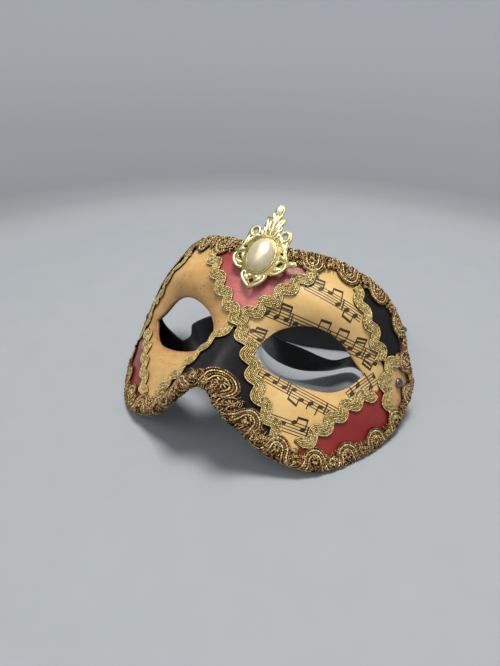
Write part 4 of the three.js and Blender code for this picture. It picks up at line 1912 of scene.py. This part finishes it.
    def _stroke(self, cords: Cords, points: Sequence, side: Side, radius: float, pointed: bool) -> None:
        """Add one raised line.

        Args:
            cords: The threads that it joins.
            points: Its points on the right half.
            side: The half that it lies on.
            radius: Its greatest radius.
            pointed: Whether it tapers like a leaf.
        """
        route = Route([(x * side.value, z, 0) for x, z in points])
        share = np.linspace(0, 1, 22)
        line = route.at(share * route.length)
        line[:, 2] = self.thick + 0.25 * np.sin(math.pi * share)
        size = np.sin(math.pi * np.clip(share, 0.02, 0.98)) ** (0.8 if pointed else 0.35) * radius
        # Full tone: the raised work gets the painted highlight.
        cords.add(self.brow.put(line), self.brow.outwards(len(line)), size, tone=1.0, flat=0.8)

    def _ring(
        self, cords: Cords, centre: tuple, radii: tuple, radius: float, steps: int, tone: float = 1.0
    ) -> None:
        """Add a raised oval ring.

        Args:
            cords: The threads that it joins.
            centre: Its centre.
            radii: Its half width and height.
            radius: Its cord's radius.
            steps: How many steps it has.
            tone: How bright its brass is, as painted light.
        """
        turn = np.linspace(0, 2 * math.pi, steps + 1)
        line = np.stack([
            centre[0] + radii[0] * np.cos(turn),
            centre[1] + radii[1] * np.sin(turn),
            np.full_like(turn, self.thick + 0.1),
        ], axis=-1)
        up = self.brow.outwards(len(line))
        cords.add(self.brow.put(line), up, radius, tone=tone, closed=True)


@dataclass
class Domes:
    """The smooth buttons: the brow's oval pearl and the temple studs."""

    rings: int = 18
    sides: int = 64
    pearl: tuple = (13.5, 18.0, 5.0)
    pearl_foot: float = 1.1
    stud: tuple = (5.0, 5.0, 1.7)
    stud_at: tuple = (89.4, 6.4)
    stud_lift: float = 0.5

    def dome(
        self, name: str, put: Callable[[Points], Points], wide: float, high: float, rise: float
    ) -> bpy.types.Mesh:
        """Return the mesh of a closed dome.

        Args:
            name: The mesh's name.
            put: Takes the dome's own points, flat side on z = 0, to the upright mask.
            wide: Its width.
            high: Its height along y.
            rise: How far it stands out.

        Returns:
            The mesh.
        """
        turn = np.linspace(0, math.pi / 2, self.rings)
        reach = np.concatenate([[0.0, 0.94], np.cos(turn)])
        level = np.concatenate([[0.0, 0.0], np.maximum(np.sin(turn), 0.06)])

        def place(i: Points, j: Points) -> Points:
            """Find the places of the dome.

            Args:
                i: Indices across the grid.
                j: Indices along it.

            Returns:
                Points in the frame, in metres.
            """
            angle = 2 * math.pi * i / self.sides
            local = np.stack([
                wide / 2 * reach[j] * np.cos(angle), high / 2 * reach[j] * np.sin(angle), rise * level[j],
            ], axis=-1)
            return settle(put(local))

        return lattice(
            name, self.sides, len(reach), place,
            lambda i, j: np.stack([i * 0.5, j * 0.5], axis=-1),
            marks={"tone": lambda i, j: np.ones(len(i))},
        )

    def build(self, lacquer: bpy.types.Material, steel: bpy.types.Material, brow: BrowPlace) -> list:
        """Build the pearl and both studs.

        Args:
            lacquer: The pearl's material.
            steel: The studs' material.
            brow: Where the ornament stands.

        Returns:
            The three pieces.
        """
        foot = np.array([0, 0, self.pearl_foot])
        mesh = self.dome("brow_cabochon", lambda p: brow.put(p + foot), *self.pearl)
        pieces = [add_piece(mesh, "pearl", lacquer, "brow_pearl")]
        u, v = self.stud_at
        for side in Side:
            foot, ahead, above = (
                SKIN.on(side.value * u + du, v + dv, self.stud_lift)
                for du, dv in ((0, 0), (0.1, 0), (0, 0.1))
            )
            first, second = unit(ahead - foot), unit(above - foot)
            axes = np.stack([first, second, np.cross(first, second)])

            def put(points: Points, foot: Points = foot, axes: Points = axes) -> Points:
                """Return the stud's points on the upright mask."""
                return points @ axes + foot

            mesh = self.dome(f"temple_stud_{side.word}_head", put, *self.stud)
            pieces.append(add_piece(mesh, "stud", steel, f"temple_stud_{side.word}"))
        return pieces


@dataclass
class SatinRibbon:
    """One black ribbon, from inside a temple to its loose end behind the mask."""

    side: Side
    wall: tuple
    stops: tuple
    width: float = 16.0
    thick: float = 0.3
    off_wall: float = 1.2
    along: int = 260
    across: int = 12
    ripples: tuple = ((0.35, 37.0), (0.22, 19.0))

    def edges(self) -> tuple:
        """Lay the ribbon's two edges along the wall and through its stops.

        Returns:
            The upper and the lower edge in the frame, in millimetres.
        """
        fixed = []
        lift = -(WALL + self.off_wall)
        for u, v in self.wall:
            above = settle(SKIN.on(u, v + self.width / 2, lift)) / MM
            below = settle(SKIN.on(u, v - self.width / 2, lift)) / MM
            fixed.append(((above + below) / 2, unit(above - below) * self.width / 2))
        places = [np.array([x, y, 0.0]) for x, y, _, _ in self.stops]
        free = []
        for number, (x, y, low, roll) in enumerate(self.stops):
            before = places[number - 1] if number else fixed[-1][0]
            after = places[min(number + 1, len(places) - 1)]
            way = unit(np.array([after[0] - before[0], after[1] - before[1], 0.0]))
            turn = math.radians(roll)
            half = np.array([way[1] * math.cos(turn), -way[0] * math.cos(turn), math.sin(turn)])
            half = half * self.width / 2
            free.append((np.array([x, y, low + half[2]]), half))
        both = [*fixed, *free]
        return Route([m + h for m, h in both]), Route([m - h for m, h in both])

    def build(self, finish: bpy.types.Material) -> bpy.types.Object:
        """Args:
            finish: Its material.

        Returns:
            The object in the scene.
        """
        upper, lower = self.edges()
        share = np.linspace(0, 1, self.along + 1)
        top, foot = upper.share(share), lower.share(share)
        middle = (top + foot) / 2
        run = lengths(middle)
        way = np.gradient(middle, axis=0)
        face = unit(np.cross(way, top - foot))
        rng = np.random.default_rng(SEED + self.side.value)
        ripple = sum(
            size * np.sin(2 * math.pi * (run / wave + rng.uniform()))
            for size, wave in self.ripples
        )
        shares = np.concatenate([np.linspace(1, 0, self.across + 1), np.linspace(0, 1, self.across + 1)])
        sides = np.repeat([1.0, -1.0], self.across + 1)
        shares, sides = np.append(shares, shares[0]), np.append(sides, sides[0])

        def place(i: Points, j: Points) -> Points:
            """Find the places of the ribbon.

            Args:
                i: Indices across the grid.
                j: Indices along it.

            Returns:
                Points in the frame, in metres.
            """
            j = np.clip(j - 1, 0, self.along)
            part = shares[i][:, None]
            bow = ripple[j] * np.sin(math.pi * shares[i])
            at = foot[j] + (top[j] - foot[j]) * part + face[j] * bow[:, None]
            at = at + face[j] * (sides[i] * self.thick / 2)[:, None]
            at[:, 2] = np.maximum(at[:, 2], 0.05 + 0.1 * sides[i])
            return at * MM

        def capped(i: Points, j: Points) -> Points:
            """Find the places, with both ends drawn together to a closed edge.

            Args:
                i: Indices across the grid.
                j: Indices along it.

            Returns:
                Points in the frame, in metres.
            """
            at = place(i, j)
            ends = (j == 0) | (j == self.along + 2)
            mirror = np.where(i < 2 * self.across + 2, 2 * self.across + 1 - i, 0)
            other = place(mirror, j)
            return np.where(ends[:, None], (at + other) / 2, at)

        def weave(i: Points, j: Points) -> Points:
            """Return the length along the ribbon and the way across it."""
            return np.stack([run[np.clip(j - 1, 0, self.along)], shares[i] * self.width], axis=-1)

        mesh = lattice(
            f"satin_ribbon_{self.side.word}", len(shares) - 1, self.along + 3, capped, weave
        )
        ribbon = add_piece(mesh, "satin", finish, f"ribbon_{self.side.word}")
        return ribbon


LOW = 0.45  # how high the lower edge stands where the ribbon lies on the floor
RIBBONS = (
    SatinRibbon(
        Side.LEFT,
        wall=((-88, 5), (-80, 3.5)),
        stops=(
            (-61.2, 15, 11.1, 112), (-52.3, 11, 8.6, 112), (-44.3, 10.5, 5.5, 108), (-41.6, 12.4, 5.3, 104),
            (-41.0, 18.4, 4.9, 102), (-42.2, 22, 4.7, 102), (-46.4, 31, 4.4, 108),
            (-47.2, 34, 3.6, 111), (-44.5, 46, 2.3, 110), (-37, 59, LOW, 96), (-29, 74, LOW, 80),
            (-27, 92, LOW, 35), (-36, 110, LOW, 6), (-56, 117, LOW, 0), (-78, 112, LOW, 0),
        ),
    ),
    SatinRibbon(
        Side.RIGHT,
        wall=((88, 5), (83, 4.5)),
        stops=(
            (62, 29, 8, 80), (56, 41, 5, 100), (46, 48, 4, 122), (35, 39, 3.8, 122),
            (20, 32, 7, 95), (7, 33, 8, 90), (-7, 43, 6.5, 90), (-13, 54, 3, 90),
            (-6, 64.5, 0.8, 90), (10, 65.5, LOW, 90), (34, 71, LOW, 90), (52, 76, LOW, 90),
            (61, 88, LOW, 55), (55, 107, LOW, 12), (36, 117, LOW, 0), (8, 115, LOW, 0),
        ),
    ),
)


@dataclass(frozen=True)
class Lamp:
    """One soft square light that looks at a point."""

    name: str
    at: tuple
    aim: tuple
    size: float
    watts: float
    tint: tuple

    def build(self) -> None:
        """Add the light."""
        lamp = bpy.data.lights.new(self.name, "AREA")
        lamp.size = self.size
        lamp.energy = self.watts
        lamp.color = self.tint
        lit = bpy.data.objects.new(self.name, lamp)
        lit.location = self.at
        lit.rotation_euler = (Vector(self.aim) - Vector(self.at)).to_track_quat("-Z", "Y").to_euler()
        bpy.context.scene.collection.objects.link(lit)


@dataclass
class Studio:
    """The pale sweep, the soft lights and the camera at the photograph's place."""

    azimuth: float = 25.7014
    elevation: float = 32.4096
    camera_at: tuple = (0.09551, -0.18965, 0.1797)
    focal_px: float = 512.36
    frame_px: tuple = (500, 666)
    sensor: float = 36.0
    sweep_flat: float = 0.28
    sweep_bend: float = 0.2
    sweep_run: float = 0.86
    lamps: tuple = (
        Lamp("window", (0.04, 0.06, 1.0), (0, 0, 0.03), 0.3, 9.4, (1.0, 0.98, 0.96)),
        Lamp("ceiling", (-0.2, -0.75, 1.0), (0, 0, 0), 0.8, 2.9, (0.95, 0.97, 1.0)),
    )
    room_tint: tuple = (0.86, 0.92, 1.0, 1.0)
    room_strength: float = 0.18

    def camera(self) -> None:
        """Add the camera."""
        lens = bpy.data.cameras.new("camera")
        lens.sensor_fit = "HORIZONTAL"
        lens.sensor_width = self.sensor
        lens.lens = self.sensor * self.focal_px / self.frame_px[0]
        lens.clip_start = 0.01
        camera = bpy.data.objects.new("camera", lens)
        turn, tilt = math.radians(self.azimuth), math.radians(self.elevation)
        camera.location = self.camera_at
        camera.rotation_euler = (math.pi / 2 - tilt, 0, turn)
        bpy.context.scene.collection.objects.link(camera)
        bpy.context.scene.camera = camera

    def sweep(self, finish: bpy.types.Material) -> None:
        """Add the round floor, which bends up all round the mask and the camera.

        Args:
            finish: Its material.
        """
        floor = bmesh.new()
        bmesh.ops.create_grid(floor, x_segments=96, y_segments=82, size=0.5)
        for vert in floor.verts:
            turn, run = 2 * math.pi * vert.co.x, (vert.co.y + 0.5) * self.sweep_run
            angle = min(max((run - self.sweep_flat) / self.sweep_bend, 0), math.pi / 2)
            reach = min(run, self.sweep_flat) + self.sweep_bend * math.sin(angle)
            past = max(run - self.sweep_flat - self.sweep_bend * math.pi / 2, 0)
            height = self.sweep_bend * (1 - math.cos(angle)) + past
            vert.co = Vector((reach * math.cos(turn), reach * math.sin(turn), height))
        bmesh.ops.remove_doubles(floor, verts=floor.verts, dist=1e-5)
        bmesh.ops.recalc_face_normals(floor, faces=floor.faces)
        mesh = bpy.data.meshes.new("sweep")
        floor.to_mesh(mesh)
        floor.free()
        mesh.shade_smooth()
        mesh.materials.append(finish)
        stage = bpy.data.objects.new("sweep", mesh)
        bpy.context.scene.collection.objects.link(stage)

    def build(self, finish: bpy.types.Material) -> None:
        """Add everything that isn't the mask.

        Args:
            finish: The floor's material.
        """
        self.camera()
        self.sweep(finish)
        for lamp in self.lamps:
            lamp.build()
        world = bpy.data.worlds.new("room")
        bpy.context.scene.world = world
        world.use_nodes = True
        sky = world.node_tree.nodes["Background"]
        sky.inputs["Color"].default_value = self.room_tint
        sky.inputs["Strength"].default_value = self.room_strength
        bpy.context.scene.view_settings.view_transform = "Standard"


def main() -> None:
    """Build the mask piece by piece."""
    logging.basicConfig(level=logging.INFO, format="%(name)s: %(message)s")
    mottle, yarn, stave = mottle_group(), yarn_group(), PrintedMusic().build()
    Studio().build(StagePaper("pale sweep").build(mottle))

    wall = MaskWall().build(PaintedPaper("painted and printed paper").build(mottle, stave))
    gimp = MetalYarn(
        "antique gold gimp", dark=srgb(26, 14, 8), middle=srgb(156, 110, 48), light=srgb(255, 240, 178),
        pitch=1.1, metallic=0.45, ladder=0.25, glitter=0.5, contrast=0.42, flecks=0.14,
    ).build(mottle, yarn)
    band = MetalYarn(
        "woven gimp band", dark=srgb(28, 17, 10), middle=srgb(108, 74, 38), light=srgb(206, 166, 92),
        pitch=0.5, metallic=0.3,
    ).build(mottle, yarn)
    gold = MetalYarn(
        "pale gold ric-rac", dark=srgb(48, 32, 10), middle=srgb(202, 162, 80), light=srgb(255, 244, 186),
        pitch=0.9, metallic=0.4, ladder=0.15, glitter=0.62, contrast=0.35, edge=0.58, flecks=0.0,
    ).build(mottle, yarn)
    rim = RimBraid()
    rim.build(gimp, band)
    RicRac().build(gold, rim)
    ornament = BrowOrnament()
    ornament.build(Brass("bright brass").build(mottle))
    Domes().build(
        PearlCoat("champagne pearl").build(mottle), StudSteel("plated steel").build(mottle), ornament.brow
    )
    satin = Satin("black satin").build(mottle)
    for ribbon in RIBBONS:
        ribbon.build(satin)

    log.info("the wall measures %s m", [round(x, 4) for x in wall.dimensions])


if __name__ == "__main__":
    main()
